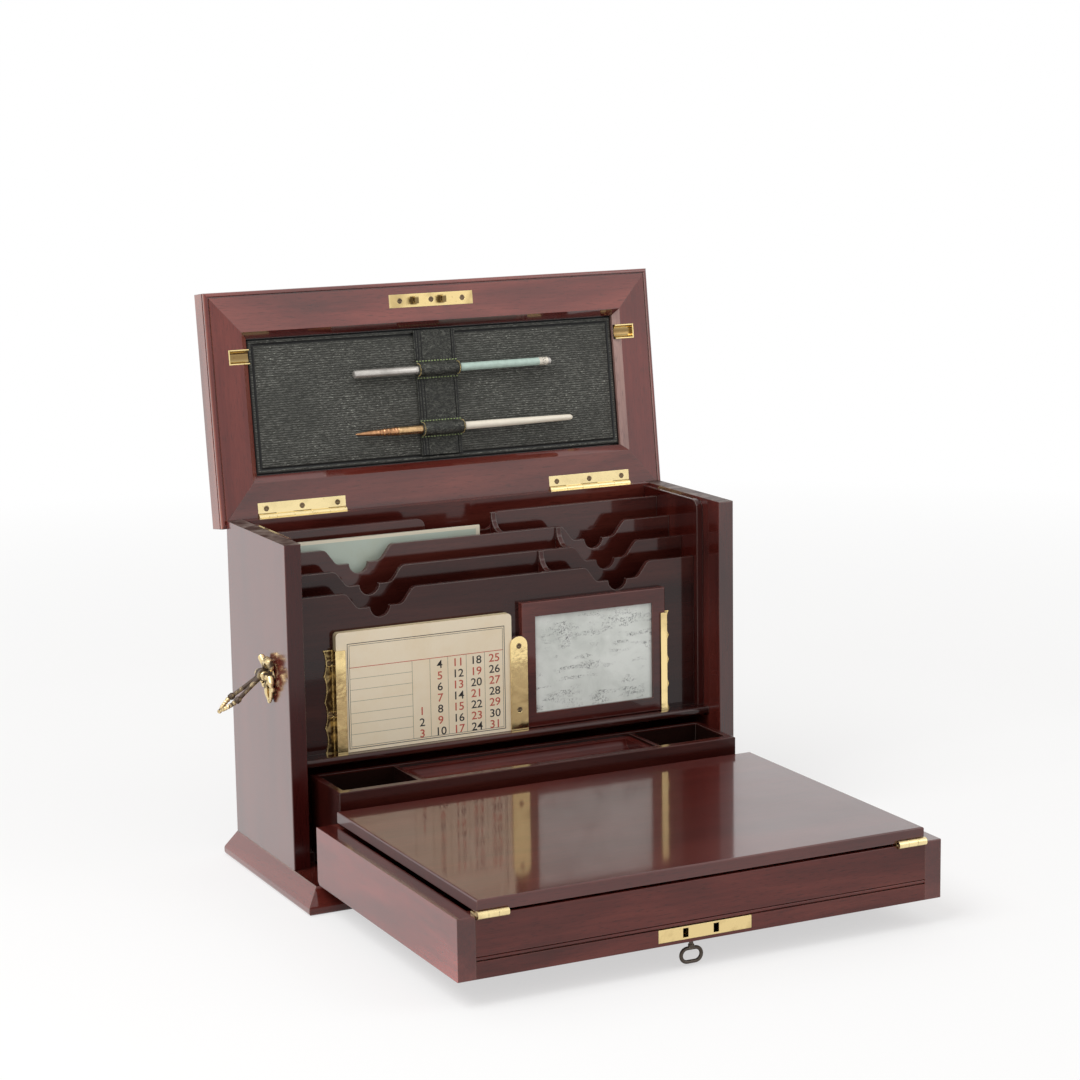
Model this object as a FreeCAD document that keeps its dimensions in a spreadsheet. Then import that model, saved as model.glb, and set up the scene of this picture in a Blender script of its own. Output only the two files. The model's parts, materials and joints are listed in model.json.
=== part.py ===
import FreeCAD, Part
import os
import re
import Sketcher

# A table-top campaign writing cabinet, drawn open: the lid is tipped back, the fall front lies level and
# the pen tray is slid forward.
# Frame: +X to the right, +Y to the back, +Z up, in millimetres. The origin is on the underside of the
# base, in the middle of the footprint of base and plinth.

doc = FreeCAD.newDocument("WritingCabinet")
Vector = FreeCAD.Vector


# ---------------------------------------------------------------- sizes

def fill_sheet(name, rows):
    """Make a sheet of named cells, one row each: alias, content, meaning."""
    sheet = doc.addObject("Spreadsheet::Sheet", name)
    for row, (alias, content, meaning) in enumerate(rows, 1):
        sheet.set(f"A{row}", alias)
        sheet.set(f"B{row}", str(content))
        sheet.setAlias(f"B{row}", alias)
        sheet.set(f"C{row}", meaning)
    return sheet


SIZES = [
    # case
    ("case_wide", 370.0, "case over its two sides"),
    ("case_high", 241.0, "sides, from the base board to the closed lid"),
    ("case_deep", 120.0, "sides, front edge to back face"),
    ("side_thick", 12.8, "case sides"),
    ("back_thick", 8.0, "back panel"),
    ("plinth_high", 17.0, "base board and plinth moulding"),
    ("plinth_front_out", 14.0, "moulding in front of the base board"),
    ("plinth_side_out", 11.2, "moulding beside the base board"),
    ("plinth_nose", 6.0, "height of the moulding's rounded foot"),
    ("plinth_nose_round", 2.4, "rounding of that foot"),
    ("edge_round", 0.8, "softened edges of the woodwork"),
    ("joint_gap", 0.15, "glue line or shadow line between boards"),
    # fall front
    ("fall_thick", 42.4, "closed front, outer face to inner face"),
    ("fall_top_gap", 0.5, "top edge of the closed front below the case top"),
    ("fall_side_in", 0.5, "sides of the fall inside the faces of the case sides"),
    ("fall_shut_gap", 0.2, "closed front to the case sides"),
    ("fall_foot_gap", 0.3, "foot of the closed front to the ledge"),
    ("fall_hinge_proud", 2.0, "hinge axis in front of the closed front"),
    ("fall_side_thick", 13.0, "sides of the fall"),
    ("fall_panel_thick", 11.8, "outer panel of the fall"),
    ("fall_rail_thick", 13.0, "front and back rails of the fall"),
    ("fall_bead_high", 2.4, "cock bead between panel and front rail"),
    ("fall_bead_round", 1.1, "rounding of that bead"),
    ("fall_groove_wide", 0.5, "grooves beside that bead"),
    ("fall_groove_deep", 1.3, "grooves beside that bead"),
    ("fall_heel_cut", 2.5, "chamfer on the heel of the fall"),
    # writing board
    ("board_thick", 9.0, "writing board"),
    ("board_short", 4.7, "writing board shorter than the fall"),
    ("board_in", 14.3, "writing board inside the outer faces of the fall"),
    ("board_leaf_thick", 0.7, "leaves that carry the board clear of the fall"),
    ("board_leaf_gap", 0.1, "between the two leaves"),
    ("board_leaf_wide", 22.6, "board hinge, along its pin"),
    ("board_leaf_deep", 9.0, "board hinge leaves, from their pin"),
    ("board_leaf_past", 0.8, "board hinge beyond the end of the board"),
    ("board_knuckle_round", 2.8, "radius of the board hinge knuckles"),
    ("board_pin_round", 0.9, "radius of the board hinge pins"),
    ("board_hinge_proud", 0.8, "board hinge axis in front of the fall"),
    ("board_round", 1.2, "rounded edges of the writing board"),
    # fall hinges
    ("fall_leaf_wide", 45.0, "fall hinge, along its pin"),
    ("fall_leaf_deep", 13.5, "fall hinge leaves, from their pin"),
    ("fall_leaf_thick", 1.2, "fall hinge leaves"),
    ("fall_leaf_in", 64.5, "outer face of the fall to the middle of a hinge"),
    ("fall_knuckle_round", 1.9, "radius of the fall hinge knuckles"),
    ("fall_pin_round", 0.9, "radius of the fall hinge pins"),
    # lid hinges
    ("lid_open", 97.5, "degrees from closed to the stop"),
    ("lid_hinge_proud", 1.0, "hinge axis behind the case back"),
    ("lid_shut_gap", 0.2, "closed lid to the case top"),
    ("lid_leaf_wide", 71.5, "lid hinge, along its pin"),
    ("lid_leaf_deep", 10.8, "leaf on the lid, from the pin"),
    ("case_leaf_deep", 7.5, "leaf on the case, from the pin"),
    ("lid_leaf_thick", 1.3, "lid hinge leaves"),
    ("lid_leaf_in", 62.0, "outer face of the case to the middle of a hinge"),
    ("hinge_knuckles", 5, "knuckles of a lid or fall hinge, both leaves together"),
    ("board_knuckles", 3, "knuckles of a board hinge, both leaves together"),
    ("lid_knuckle_round", 2.4, "radius of the lid hinge knuckles"),
    ("lid_pin_round", 1.1, "radius of the lid hinge pins"),
    ("knuckle_gap", 0.2, "between neighbouring knuckles"),
    ("pin_fit", 0.05, "radial play of a pin in its knuckles"),
    ("knuckle_room", 0.3, "woodwork to a knuckle"),
    # lid
    ("lid_side_over", 3.3, "lid beyond the case sides"),
    ("lid_back_over", 6.5, "lid behind its hinge axis"),
    ("lid_front_over", 7.4, "lid in front of the closed front"),
    ("lid_thick", 24.0, "lid"),
    ("lid_panel_thick", 10.0, "outer panel of the lid"),
    ("lid_side_rail", 32.3, "side rails of the lid, over their bevel"),
    ("lid_front_rail", 35.8, "front rail of the lid, over its bevel"),
    ("lid_opening_start", 31.0, "hinge axis to the opening"),
    ("lid_bevel", 5.0, "bevel round the opening"),
    ("lid_rebate", 6.0, "rebate that holds the outer panel"),
    ("lid_round", 3.0, "rounded outer edge of the lid"),
    ("lid_bead_wide", 3.2, "bead round the lid's inner face"),
    ("lid_bead_high", 4.6, "that bead down the lid's edge"),
    ("lid_groove_deep", 1.2, "quirks beside that bead"),
    ("lid_groove_wide", 0.9, "quirks beside that bead"),
    ("lid_bead_round", 2.0, "rounding of that bead"),
    ("lid_bead_ease", 1.0, "rounding of that bead at its quirks"),
    ("lid_screw_apart", 29.0, "screws of a lid hinge from its middle"),
    ("lid_screw_in", 6.2, "pin of a lid hinge to its screws"),
    # leather panel and what it carries
    ("leather_recess", 5.0, "lid's inner face to the leather"),
    ("leather_room", 0.5, "leather panel to the lid frame"),
    ("strap_wide", 35.0, "leather strap"),
    ("strap_thick", 1.2, "leather strap"),
    ("strap_at", -1.3, "middle of the strap from the middle"),
    ("strap_start", 36.0, "hinge axis to the strap"),
    ("strap_short", 2.2, "strap to the front of the opening"),
    ("loop_thick", 1.2, "leather of a pen loop"),
    ("loop_long", 35.6, "pen loop, along the pen"),
    ("loop_foot", 18.8, "pen loop over its two feet"),
    ("pencil_loop_at", 102.5, "hinge axis to the pencil"),
    ("pen_loop_at", 56.5, "hinge axis to the penholder"),
    ("pen_play", 0.3, "pen to its loop and strap"),
    ("pencil_round", 3.3, "radius of the pencil"),
    ("pencil_long", 169.0, "pencil"),
    ("pencil_start", -73.0, "left end of the pencil"),
    ("pencil_end_round", 0.8, "rounded ends of the pencil"),
    ("pen_round", 3.0, "radius of the penholder's handle"),
    ("pen_tail_round", 2.0, "radius at the end of that handle"),
    ("pen_grip_round", 3.6, "radius of its ringed grip"),
    ("pen_long", 187.0, "penholder with its nib"),
    ("pen_start", -75.0, "point of the nib"),
    ("pen_nib_long", 20.0, "nib"),
    ("pen_grip_long", 52.0, "ringed metal grip"),
    ("pen_nib_round", 0.6, "radius near the nib's point"),
    ("pen_nib_root", 1.9, "radius of the nib at the grip"),
    # strike plate
    ("strike_wide", 71.0, "strike plate"),
    ("strike_deep", 10.3, "strike plate, front to back"),
    ("strike_thick", 1.4, "strike plate"),
    ("staple_wide", 3.0, "staple, along the bolt's travel"),
    ("staple_deep", 5.6, "staple, front to back"),
    ("staple_high", 7.0, "staple, beyond the lid's inner face"),
    ("staple_eye", 3.6, "hole in a staple"),
    ("staple_eye_down", 4.4, "lid's inner face to the hole in a staple"),
    ("staple_left", -14.9, "left staple from the middle of the plate"),
    ("staple_right", 8.4, "right staple from the middle of the plate"),
    ("strike_screw", 26.5, "outer screws from the middle of the plate"),
    # brass sockets that take the board's knuckles when the lid is down
    ("socket_wide", 11.3, "socket, across the knuckles"),
    ("socket_shift", 1.2, "middle of a socket beyond the knuckles"),
    ("socket_deep", 4.3, "socket, let into the frame"),
    ("socket_room", 0.5, "socket to the knuckles"),
    ("socket_wall", 0.9, "brass beyond the end of the knuckles"),
    # lock
    ("lock_wide", 71.0, "lock plate"),
    ("lock_at", -3.2, "middle of the lock plate from the middle"),
    ("lock_high", 9.0, "lock plate and lock case"),
    ("lock_up", 2.6, "outer face of the fall to the lock"),
    ("lock_deep", 17.0, "lock case, into the fall"),
    ("lock_wall", 1.2, "walls of the lock"),
    ("lock_room", 0.15, "lock to its mortise"),
    ("lock_slot_wide", 4.2, "slot for a staple"),
    ("lock_slot_high", 6.4, "slot for a staple"),
    ("bolt_thick", 1.6, "back bar of the link bolt"),
    ("bolt_deep", 5.0, "back bar of the link bolt"),
    ("bolt_arm", 3.6, "arms of the link bolt, along its travel"),
    ("bolt_nib", 2.2, "nibs that enter the staples"),
    ("bolt_nib_long", 5.4, "nibs that enter the staples"),
    ("bolt_play", 0.3, "link bolt to the lock case"),
    ("key_at", -10.0, "key from the middle"),
    ("key_in", 7.5, "front face of the fall to the key"),
    ("key_round", 1.5, "radius of the key's stem"),
    ("key_hole_play", 0.06, "key to its hole"),
    ("key_bit_long", 2.4, "bit beyond the stem"),
    ("key_bit_high", 3.0, "bit, along the stem"),
    ("key_bit_thick", 1.2, "bit"),
    ("key_neck", 5.6, "stem showing outside the fall"),
    ("key_bow_wide", 18.0, "bow of the key"),
    ("key_bow_high", 12.0, "bow of the key"),
    ("key_bow_round", 1.3, "radius of the bow's wire"),
    # pen tray
    ("tray_side_room", 8.7, "pen tray to the case sides"),
    ("tray_deep", 58.0, "pen tray, front to back"),
    ("tray_over", 5.2, "rim of the tray to the rack shelf"),
    ("tray_lift", 0.3, "tray to the base board"),
    ("tray_forward", 38.9, "open tray in front of the case sides"),
    ("tray_front_thick", 6.5, "front wall"),
    ("tray_wall", 5.0, "end and back walls"),
    ("tray_floor", 4.0, "floor of the tray"),
    ("tray_slip", 3.0, "dividers beside the ink wells"),
    ("well_left", 60.0, "left ink well, along the tray"),
    ("well_right", 56.0, "right ink well, along the tray"),
    ("trough_thick", 14.0, "pen trough"),
    ("trough_sink", 2.5, "pen trough below the tray's rim"),
    ("trough_deep", 8.0, "hollow of the pen trough"),
    ("trough_wall", 6.0, "edges of the pen trough"),
    ("runner_high", 8.0, "tray runners"),
    ("runner_start", 13.5, "front edge of the case sides to the runners"),
    ("runner_play", 0.3, "tray to its runners"),
    # letter rack
    ("shelf_up", 70.0, "base board to the underside of the rack shelf"),
    ("shelf_thick", 6.0, "rack shelf"),
    ("shelf_front", 16.8, "front edge of the case sides to the nosing"),
    ("shelf_nose", 2.4, "rounding of the nosing"),
    ("cheek_thick", 5.2, "cheeks above the shelf"),
    ("cheek_front", 25.0, "front edge of the case sides to a cheek"),
    ("cheek_drop", 1.5, "cheek below the closed lid"),
    ("cheek_round", 8.0, "rounded top corner of a cheek"),
    ("slip_thick", 4.0, "dividers of the letter rack"),
    ("divider_front", 30.3, "front edge of the case sides to the first divider"),
    ("divider_pitch", 19.7, "one divider to the next"),
    ("divider_drop", 46.3, "case top to the top of the first divider"),
    ("divider_rise", 13.1, "one divider's top above the last"),
    ("notch_at", 99.3, "thumb notch from the middle"),
    ("notch_drop", 12.0, "shoulders of a notch below the top"),
    ("notch_top_half", 27.0, "half the notch at the top"),
    ("notch_foot_half", 18.0, "half the notch at its shoulders"),
    ("notch_ogee", 5.5, "rounding of the ogee curves"),
    ("notch_round", 8.0, "half-round at the middle of a notch"),
    ("dip_left", -36.0, "dip in the rear divider, left end"),
    ("dip_right", 22.0, "dip in the rear divider, right end"),
    ("dip_drop", 13.0, "depth of that dip"),
    ("dip_round", 6.0, "rounding of that dip"),
    ("partition_lip", 2.0, "flat top of a partition at its divider"),
    ("partition_curve", 0.9, "rounding of a partition, as a share of a divider's rise"),
    ("partition_first", 41.0, "first partition from the middle"),
    ("partition_second", 66.0, "second partition from the middle"),
    ("partition_third", 19.5, "third partition from the middle"),
    # things on the front divider
    ("clip_room", 6.6, "front divider to the lips of the clips"),
    ("clip_thick", 0.9, "brass of the clips"),
    ("clip_high", 78.0, "scalloped clips"),
    ("clip_lip", 7.0, "lip of the left clip over the calendar"),
    ("clip_lip_right", 4.4, "lip of the right clip over the tablet"),
    ("clip_flange", 7.0, "scalloped flange of the left clip"),
    ("clip_flange_right", 5.0, "scalloped flange of the right clip"),
    ("clip_scallops", 4, "hollows in a scalloped edge"),
    ("scallop_deep", 2.0, "hollows in a scalloped edge"),
    ("clip_screw_low", 0.375, "lower screw of a clip, as a share of its height"),
    ("clip_screw_high", 0.875, "upper screw of a clip, as a share of its height"),
    ("strip_screw_low", 0.24, "lower screw of the strip, as a share of its height"),
    ("strip_screw_high", 0.9, "upper screw of the strip, as a share of its height"),
    ("strip_left", 3.3, "centre strip, left edge from the middle"),
    ("strip_wide", 14.3, "centre strip"),
    ("strip_high", 75.0, "centre strip"),
    ("strip_low", 2.0, "centre strip below the shelf's top"),
    ("card_round", 3.0, "rounded top corners of the calendar"),
    ("calendar_left", -138.0, "calendar, left edge from the middle"),
    ("calendar_wide", 143.0, "calendar"),
    ("calendar_high", 91.0, "calendar"),
    ("calendar_thick", 6.0, "calendar cards"),
    ("memo_left", 13.9, "memorandum frame, left edge"),
    ("memo_wide", 123.6, "memorandum frame"),
    ("memo_high", 97.6, "memorandum frame"),
    ("memo_thick", 6.1, "memorandum frame"),
    ("memo_border", 11.2, "moulding of the memorandum frame"),
    ("memo_rebate", 2.0, "frame in front of the tablet"),
    ("memo_slab", 2.6, "opal tablet"),
    ("loose_fit", 0.2, "loose pieces to what they stand on"),
    ("screw_head", 2.1, "radius of a screw head"),
    ("screw_body", 1.1, "radius of a screw below its head"),
    ("screw_long", 3.0, "screw below its head"),
    ("screw_slot_wide", 0.6, "slot of a screw"),
    ("screw_slot_deep", 0.5, "slot of a screw"),
    ("letter_in", 4.7, "left end of the dividers to the letter card"),
    ("letter_wide", 168.0, "letter card"),
    ("letter_drop", 14.4, "case top to the top of the letter card"),
    ("letter_thick", 2.4, "letter card"),
    ("letter_at", 79.8, "front edge of the case sides to the letter card"),
    # handles
    ("handle_at", 34.0, "front edge of the case sides to the handles"),
    ("handle_up", 141.0, "base board to the handle's pin"),
    ("handle_plate_thick", 2.4, "back plate of a handle"),
    ("handle_plate_round", 9.0, "middle of the back plate"),
    ("handle_lobe_round", 5.0, "lobe above, and leaf below"),
    ("handle_lobe_up", 9.0, "pin to the middle of the upper lobe"),
    ("handle_leaf_down", 22.5, "pin to the tip of the leaf"),
    ("handle_leaf_shoulder", 14.0, "pin to the widest part of the leaf"),
    ("handle_pin_out", 7.4, "case side to the handle's pin"),
    ("handle_pin_round", 1.4, "radius of the handle's pin"),
    ("handle_ear_thick", 3.2, "ears that hold the pin"),
    ("handle_ear_round", 3.6, "radius of the ears"),
    ("bail_eye_round", 4.6, "eye of the bail"),
    ("bail_eye_long", 7.0, "eye of the bail, along its pin"),
    ("bail_play", 0.3, "eye to the ears"),
    ("bail_long", 43.0, "bail, pin to tip"),
    ("bail_wide", 17.0, "bail at its widest"),
    ("bail_wire", 1.7, "radius of the bail's arms"),
    ("bail_collar", 2.7, "radius of the ring collars"),
    ("bail_out_left", 55.0, "degrees the left bail stands out"),
]

PLACES = [
    ("half_wide", "=Sizes.case_wide / 2", "outer face of a case side"),
    ("inner_half", "=Sizes.case_wide / 2 - Sizes.side_thick", "inner face of a case side"),
    ("ledge_deep", "=Sizes.fall_thick + Sizes.fall_shut_gap", "ledge the closed front stands on"),
    ("case_front", "=(Sizes.plinth_front_out + ledge_deep - Sizes.case_deep) / 2", "front of the sides"),
    ("case_back", "=case_front + Sizes.case_deep", "back face of the case"),
    ("back_face", "=case_back - Sizes.back_thick", "inner face of the back panel"),
    ("ledge_front", "=case_front - ledge_deep", "front edge of the base board"),
    ("floor_top", "=Sizes.plinth_high", "top of the base board"),
    ("case_top", "=floor_top + Sizes.case_high", "top of the sides"),
    ("fall_axis_y", "=ledge_front - Sizes.fall_hinge_proud", "hinge axis of the fall"),
    ("fall_rear", "=fall_axis_y - Sizes.fall_foot_gap", "rear edge of the open fall"),
    ("fall_long", "=Sizes.case_high - Sizes.fall_foot_gap - Sizes.fall_top_gap", "height of the closed front"),
    ("fall_front", "=fall_rear - fall_long", "front face of the open fall"),
    ("fall_under", "=floor_top + Sizes.fall_hinge_proud", "underside of the open fall"),
    ("fall_panel_top", "=fall_under + Sizes.fall_panel_thick", "inner face of the outer panel"),
    ("fall_top", "=fall_under + Sizes.fall_thick", "top of the open fall"),
    ("fall_half", "=half_wide - Sizes.fall_side_in", "outer face of a fall side"),
    ("fall_inner", "=fall_half - Sizes.fall_side_thick", "inner face of a fall side"),
    ("fall_leaf_at", "=fall_half - Sizes.fall_leaf_in", "middle of a fall hinge"),
    ("board_half", "=fall_half - Sizes.board_in", "half the writing board"),
    ("board_long", "=fall_long - Sizes.board_short", "writing board, front to back"),
    ("board_leaf_out", "=board_half + Sizes.board_leaf_past", "outer end of a board hinge"),
    ("board_axis_z", "=fall_top + Sizes.board_leaf_thick + Sizes.board_leaf_gap / 2", "board hinge"),
    ("board_axis_y", "=fall_front - Sizes.board_hinge_proud", "board hinge"),
    ("board_under", "=fall_top + 2 * Sizes.board_leaf_thick + Sizes.board_leaf_gap", "board"),
    ("lid_axis_y", "=case_back + Sizes.lid_hinge_proud", "hinge axis of the lid"),
    ("lid_axis_z", "=case_top + Sizes.lid_shut_gap / 2", "hinge axis of the lid"),
    ("lid_face", "=Sizes.lid_shut_gap / 2", "lid's inner face from its hinge axis"),
    ("lid_half", "=half_wide + Sizes.lid_side_over", "half the lid"),
    ("lid_leaf_at", "=half_wide - Sizes.lid_leaf_in", "middle of a lid hinge"),
    ("lid_front_reach", "=Sizes.lid_hinge_proud + Sizes.case_deep + ledge_deep + Sizes.lid_front_over",
     "hinge axis to the lid's front edge"),
    ("lid_opening_end", "=lid_front_reach - Sizes.lid_front_rail", "hinge axis to the opening's far edge"),
    ("strap_end", "=lid_opening_end - Sizes.strap_short", "hinge axis to the strap's far end"),
    ("shelf_under", "=floor_top + Sizes.shelf_up", "underside of the rack shelf"),
    ("shelf_top", "=shelf_under + Sizes.shelf_thick", "top of the rack shelf"),
    ("rack_half", "=inner_half - Sizes.cheek_thick - 2 * Sizes.joint_gap", "end of a divider"),
    ("tray_front", "=case_front - Sizes.tray_forward", "front of the open tray"),
    ("tray_back", "=tray_front + Sizes.tray_deep", "back of the open tray"),
    ("tray_half", "=inner_half - Sizes.tray_side_room", "end of the tray"),
    ("tray_under", "=floor_top + Sizes.tray_lift", "underside of the tray"),
    ("tray_top", "=shelf_under - Sizes.tray_over", "rim of the tray"),
    ("lid_top", "=lid_face + Sizes.lid_thick", "outer face of the lid from its hinge axis"),
    ("panel_face", "=lid_top - Sizes.lid_panel_thick", "inner face of the lid's outer panel"),
    ("open_half", "=lid_half - Sizes.lid_side_rail", "half the opening of the lid frame"),
    ("leather_face", "=lid_face + Sizes.leather_recess", "leather from the lid's hinge axis"),
    ("strap_face", "=leather_face - Sizes.strap_thick", "strap from the lid's hinge axis"),
    ("rack_face", "=case_front + Sizes.divider_front", "front face of the first divider"),
    ("letter_left", "=-rack_half + Sizes.letter_in", "left edge of the letter card"),
    ("letter_top", "=case_top - Sizes.letter_drop", "top of the letter card"),
    ("lip_face", "=rack_face - Sizes.clip_room", "inner face of the clips' lips"),
    ("handle_z", "=floor_top + Sizes.handle_up", "pin of a handle"),
    ("handle_y", "=case_front + Sizes.handle_at", "pin of a handle"),
    ("handle_x", "=half_wide + Sizes.handle_pin_out", "pin of a handle"),
    ("lock_left", "=Sizes.lock_at - Sizes.lock_wide / 2", "left end of the lock"),
    ("lock_right", "=Sizes.lock_at + Sizes.lock_wide / 2", "right end of the lock"),
    ("lock_under", "=fall_under + Sizes.lock_up", "outer face of the lock case"),
    ("lock_top", "=lock_under + Sizes.lock_high", "inner face of the lock case"),
    ("lock_back", "=fall_front + Sizes.lock_deep", "inner end of the lock case"),
    ("lock_middle", "=lock_under + Sizes.lock_high / 2", "middle of the lock's slots"),
    ("strike_s", "=lid_axis_y - fall_axis_y - lock_middle + floor_top", "middle of the strike plate"),
    ("lock_lid_gap", "=lid_axis_z + lid_face - floor_top - fall_axis_y + fall_front", "shut lid to lock"),
    ("nib_y", "=fall_front + Sizes.staple_eye_down - lock_lid_gap", "eyes of the staples, box shut"),
    ("socket_s", "=lid_axis_y - fall_axis_y - board_axis_z + floor_top", "shut board hinge in the lid"),
]

sizes = fill_sheet("Sizes", SIZES)
places = fill_sheet("Places", PLACES)
doc.recompute()

OWNER = {row[0]: "Sizes." for row in SIZES}
OWNER.update({row[0]: "Places." for row in PLACES})


def ref(text):
    """An expression whose aliases point at the sheets that hold them."""
    return re.sub(r"[a-z][a-z_]*", lambda word: OWNER.get(word.group(0), "") + word.group(0), str(text))


def num(text):
    """The present value of an expression."""
    return float(sizes.evalExpression(ref(text)))


def bind(piece, prop, text):
    piece.setExpression(prop, ref(text))


def span(pair):
    return f"({pair[1]}) - ({pair[0]})"


def mirror(pair):
    """The same stretch on the other side of the middle."""
    return f"-({pair[1]})", f"-({pair[0]})"


# ---------------------------------------------------------------- ways of making a piece

NODES = []
AXES = {"x": Vector(1, 0, 0), "y": Vector(0, 1, 0), "z": Vector(0, 0, 1)}
PLANES = {"x": "YZ_Plane", "y": "XZ_Plane", "z": "XY_Plane"}
TINY = 1e-5


def put(piece, x, y, z):
    """Place a piece's own origin."""
    for axis, text in zip("xyz", (x, y, z)):
        bind(piece, f"Placement.Base.{axis}", text)


def block(name, x, y, z):
    """A plain rectangular solid; each of x, y and z is a low and a high end."""
    piece = doc.addObject("Part::Box", name)
    bind(piece, "Length", span(x))
    bind(piece, "Width", span(y))
    bind(piece, "Height", span(z))
    put(piece, x[0], y[0], z[0])
    return piece


def rod(name, axis, along, centre, radius):
    """A cylinder along an axis; centre holds its other two coordinates, in X, Y, Z order."""
    piece = doc.addObject("Part::Cylinder", name)
    bind(piece, "Radius", radius)
    bind(piece, "Height", span(along))
    piece.Placement.Rotation = FreeCAD.Rotation(AXES["z"], AXES[axis])
    base = list(centre)
    base.insert("xyz".index(axis), along[0])
    put(piece, *base)
    return piece


def cut(name, base, *tools):
    piece = doc.addObject("Part::Cut", name)
    piece.Base = base
    piece.Tool = tools[0] if len(tools) == 1 else join(f"{name}_tools", *tools)
    return piece


def join(name, *pieces):
    piece = doc.addObject("Part::MultiFuse", name)
    piece.Shapes = list(pieces)
    return piece


def common(name, first, second):
    piece = doc.addObject("Part::MultiCommon", name)
    piece.Shapes = [first, second]
    return piece


def group(name, *pieces):
    """Several separate solids that share one node."""
    piece = doc.addObject("Part::Compound", name)
    piece.Links = list(pieces)
    return piece


def origin_plane(body, axis):
    role = PLANES[axis]
    return [plane for plane in body.Origin.OriginFeatures if plane.Role == role][0]


def new_sketch(body, name, axis, at):
    sketch = body.newObject("Sketcher::SketchObject", name)
    sketch.AttachmentSupport = (origin_plane(body, axis), [""])
    sketch.MapMode = "FlatFace"
    # the XZ plane faces -Y, so an offset along +Y is a negative one there
    sign = "-" if axis == "y" else ""
    bind(sketch, "AttachmentOffset.Base.z", f"{sign}({at})")
    return sketch


def draw_outline(sketch, corners):
    """A closed outline whose corners are all tied to the sheets."""
    points = [Vector(num(across), num(up), 0) for across, up in corners]
    count = len(points)
    for index in range(count):
        sketch.addGeometry(Part.LineSegment(points[index], points[(index + 1) % count]), False)
    for index in range(count):
        sketch.addConstraint(Sketcher.Constraint("Coincident", index, 2, (index + 1) % count, 1))
    for index, (corner, point) in enumerate(zip(corners, points)):
        for kind, text, value in (("DistanceX", corner[0], point.x), ("DistanceY", corner[1], point.y)):
            number = sketch.addConstraint(Sketcher.Constraint(kind, -1, 1, index, 1, value))
            bind(sketch, f"Constraints[{number}]", text)


def draw_circle(sketch, across, up, radius):
    centre = Vector(num(across), num(up), 0)
    circle = sketch.addGeometry(Part.Circle(centre, Vector(0, 0, 1), num(radius)), False)
    for kind, text, value in (("DistanceX", across, centre.x), ("DistanceY", up, centre.y)):
        number = sketch.addConstraint(Sketcher.Constraint(kind, -1, 1, circle, 3, value))
        bind(sketch, f"Constraints[{number}]", text)
    number = sketch.addConstraint(Sketcher.Constraint("Radius", circle, num(radius)))
    bind(sketch, f"Constraints[{number}]", radius)


def shaped(name, axis, along, corners, rounds=(), holes=()):
    """A board of any outline: the outline is drawn square to an axis and padded along it.

    rounds holds pairs of a radius and the numbers of the corners that it rounds, and holes holds
    circles, each as across, up and radius, that are cut right through.
    """
    body = doc.addObject("PartDesign::Body", name)
    sketch = new_sketch(body, f"{name}_outline", axis, along[0])
    draw_outline(sketch, corners)
    pad = body.newObject("PartDesign::Pad", f"{name}_pad")
    pad.Profile = sketch
    bind(pad, "Length", span(along))
    pad.Reversed = axis == "y"
    doc.recompute()
    last = pad
    for number, (radius, picks) in enumerate(rounds):
        spots = [(num(corners[pick][0]), num(corners[pick][1])) for pick in picks]
        last = soften(body, last, f"{name}_round_{number}", radius, corner_edges(last, axis, spots))
    for number, hole in enumerate(holes):
        ring = new_sketch(body, f"{name}_ring_{number}", axis, along[0])
        draw_circle(ring, *hole)
        pocket = body.newObject("PartDesign::Pocket", f"{name}_pocket_{number}")
        pocket.Profile = ring
        pocket.Type = "ThroughAll"
        pocket.Reversed = axis != "y"
        doc.recompute()
    return body


def soften(body, last, name, radius, edges):
    """Round some edges of the body's last feature."""
    fillet = body.newObject("PartDesign::Fillet", name)
    fillet.Base = (last, edges)
    bind(fillet, "Radius", radius)
    doc.recompute()
    return fillet


def corner_edges(feature, axis, spots):
    """Names of the edges that run along an axis through the given spots of the outline."""
    across, up = [index for index in range(3) if "xyz"[index] != axis]
    found = []
    for number, edge in enumerate(feature.Shape.Edges, 1):
        ends = [vertex.Point for vertex in edge.Vertexes]
        if len(ends) != 2:
            continue
        for spot in spots:
            if all(abs(end[across] - spot[0]) < TINY and abs(end[up] - spot[1]) < TINY for end in ends):
                found.append(f"Edge{number}")
    return found


def plank(name, x, y, z, soft=None, radius="edge_round"):
    """A straight board; soft names the sides whose edges are softened, such as "-y" or "+z"."""
    body = doc.addObject("PartDesign::Body", name)
    box = body.newObject("PartDesign::AdditiveBox", f"{name}_box")
    bind(box, "Length", span(x))
    bind(box, "Width", span(y))
    bind(box, "Height", span(z))
    put(box, x[0], y[0], z[0])
    doc.recompute()
    if soft:
        limits = {"x": x, "y": y, "z": z}
        edges = set()
        for side in soft:
            index = "xyz".index(side[1])
            value = num(limits[side[1]][1 if side[0] == "+" else 0])
            for number, edge in enumerate(box.Shape.Edges, 1):
                if all(abs(vertex.Point[index] - value) < TINY for vertex in edge.Vertexes):
                    edges.add(f"Edge{number}")
        soften(body, box, f"{name}_soft", radius, sorted(edges))
    return body


def drawn(name, shape):
    """A piece whose shape is worked out from the sheets in this script."""
    piece = doc.addObject("Part::Feature", name)
    piece.Shape = shape
    return piece


def keep(node, piece, frame=None):
    """Name a finished piece, set it in its frame and put it on the list of nodes."""
    piece.Label = node
    if frame:
        frame(piece)
    NODES.append(piece)
    return piece


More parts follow.
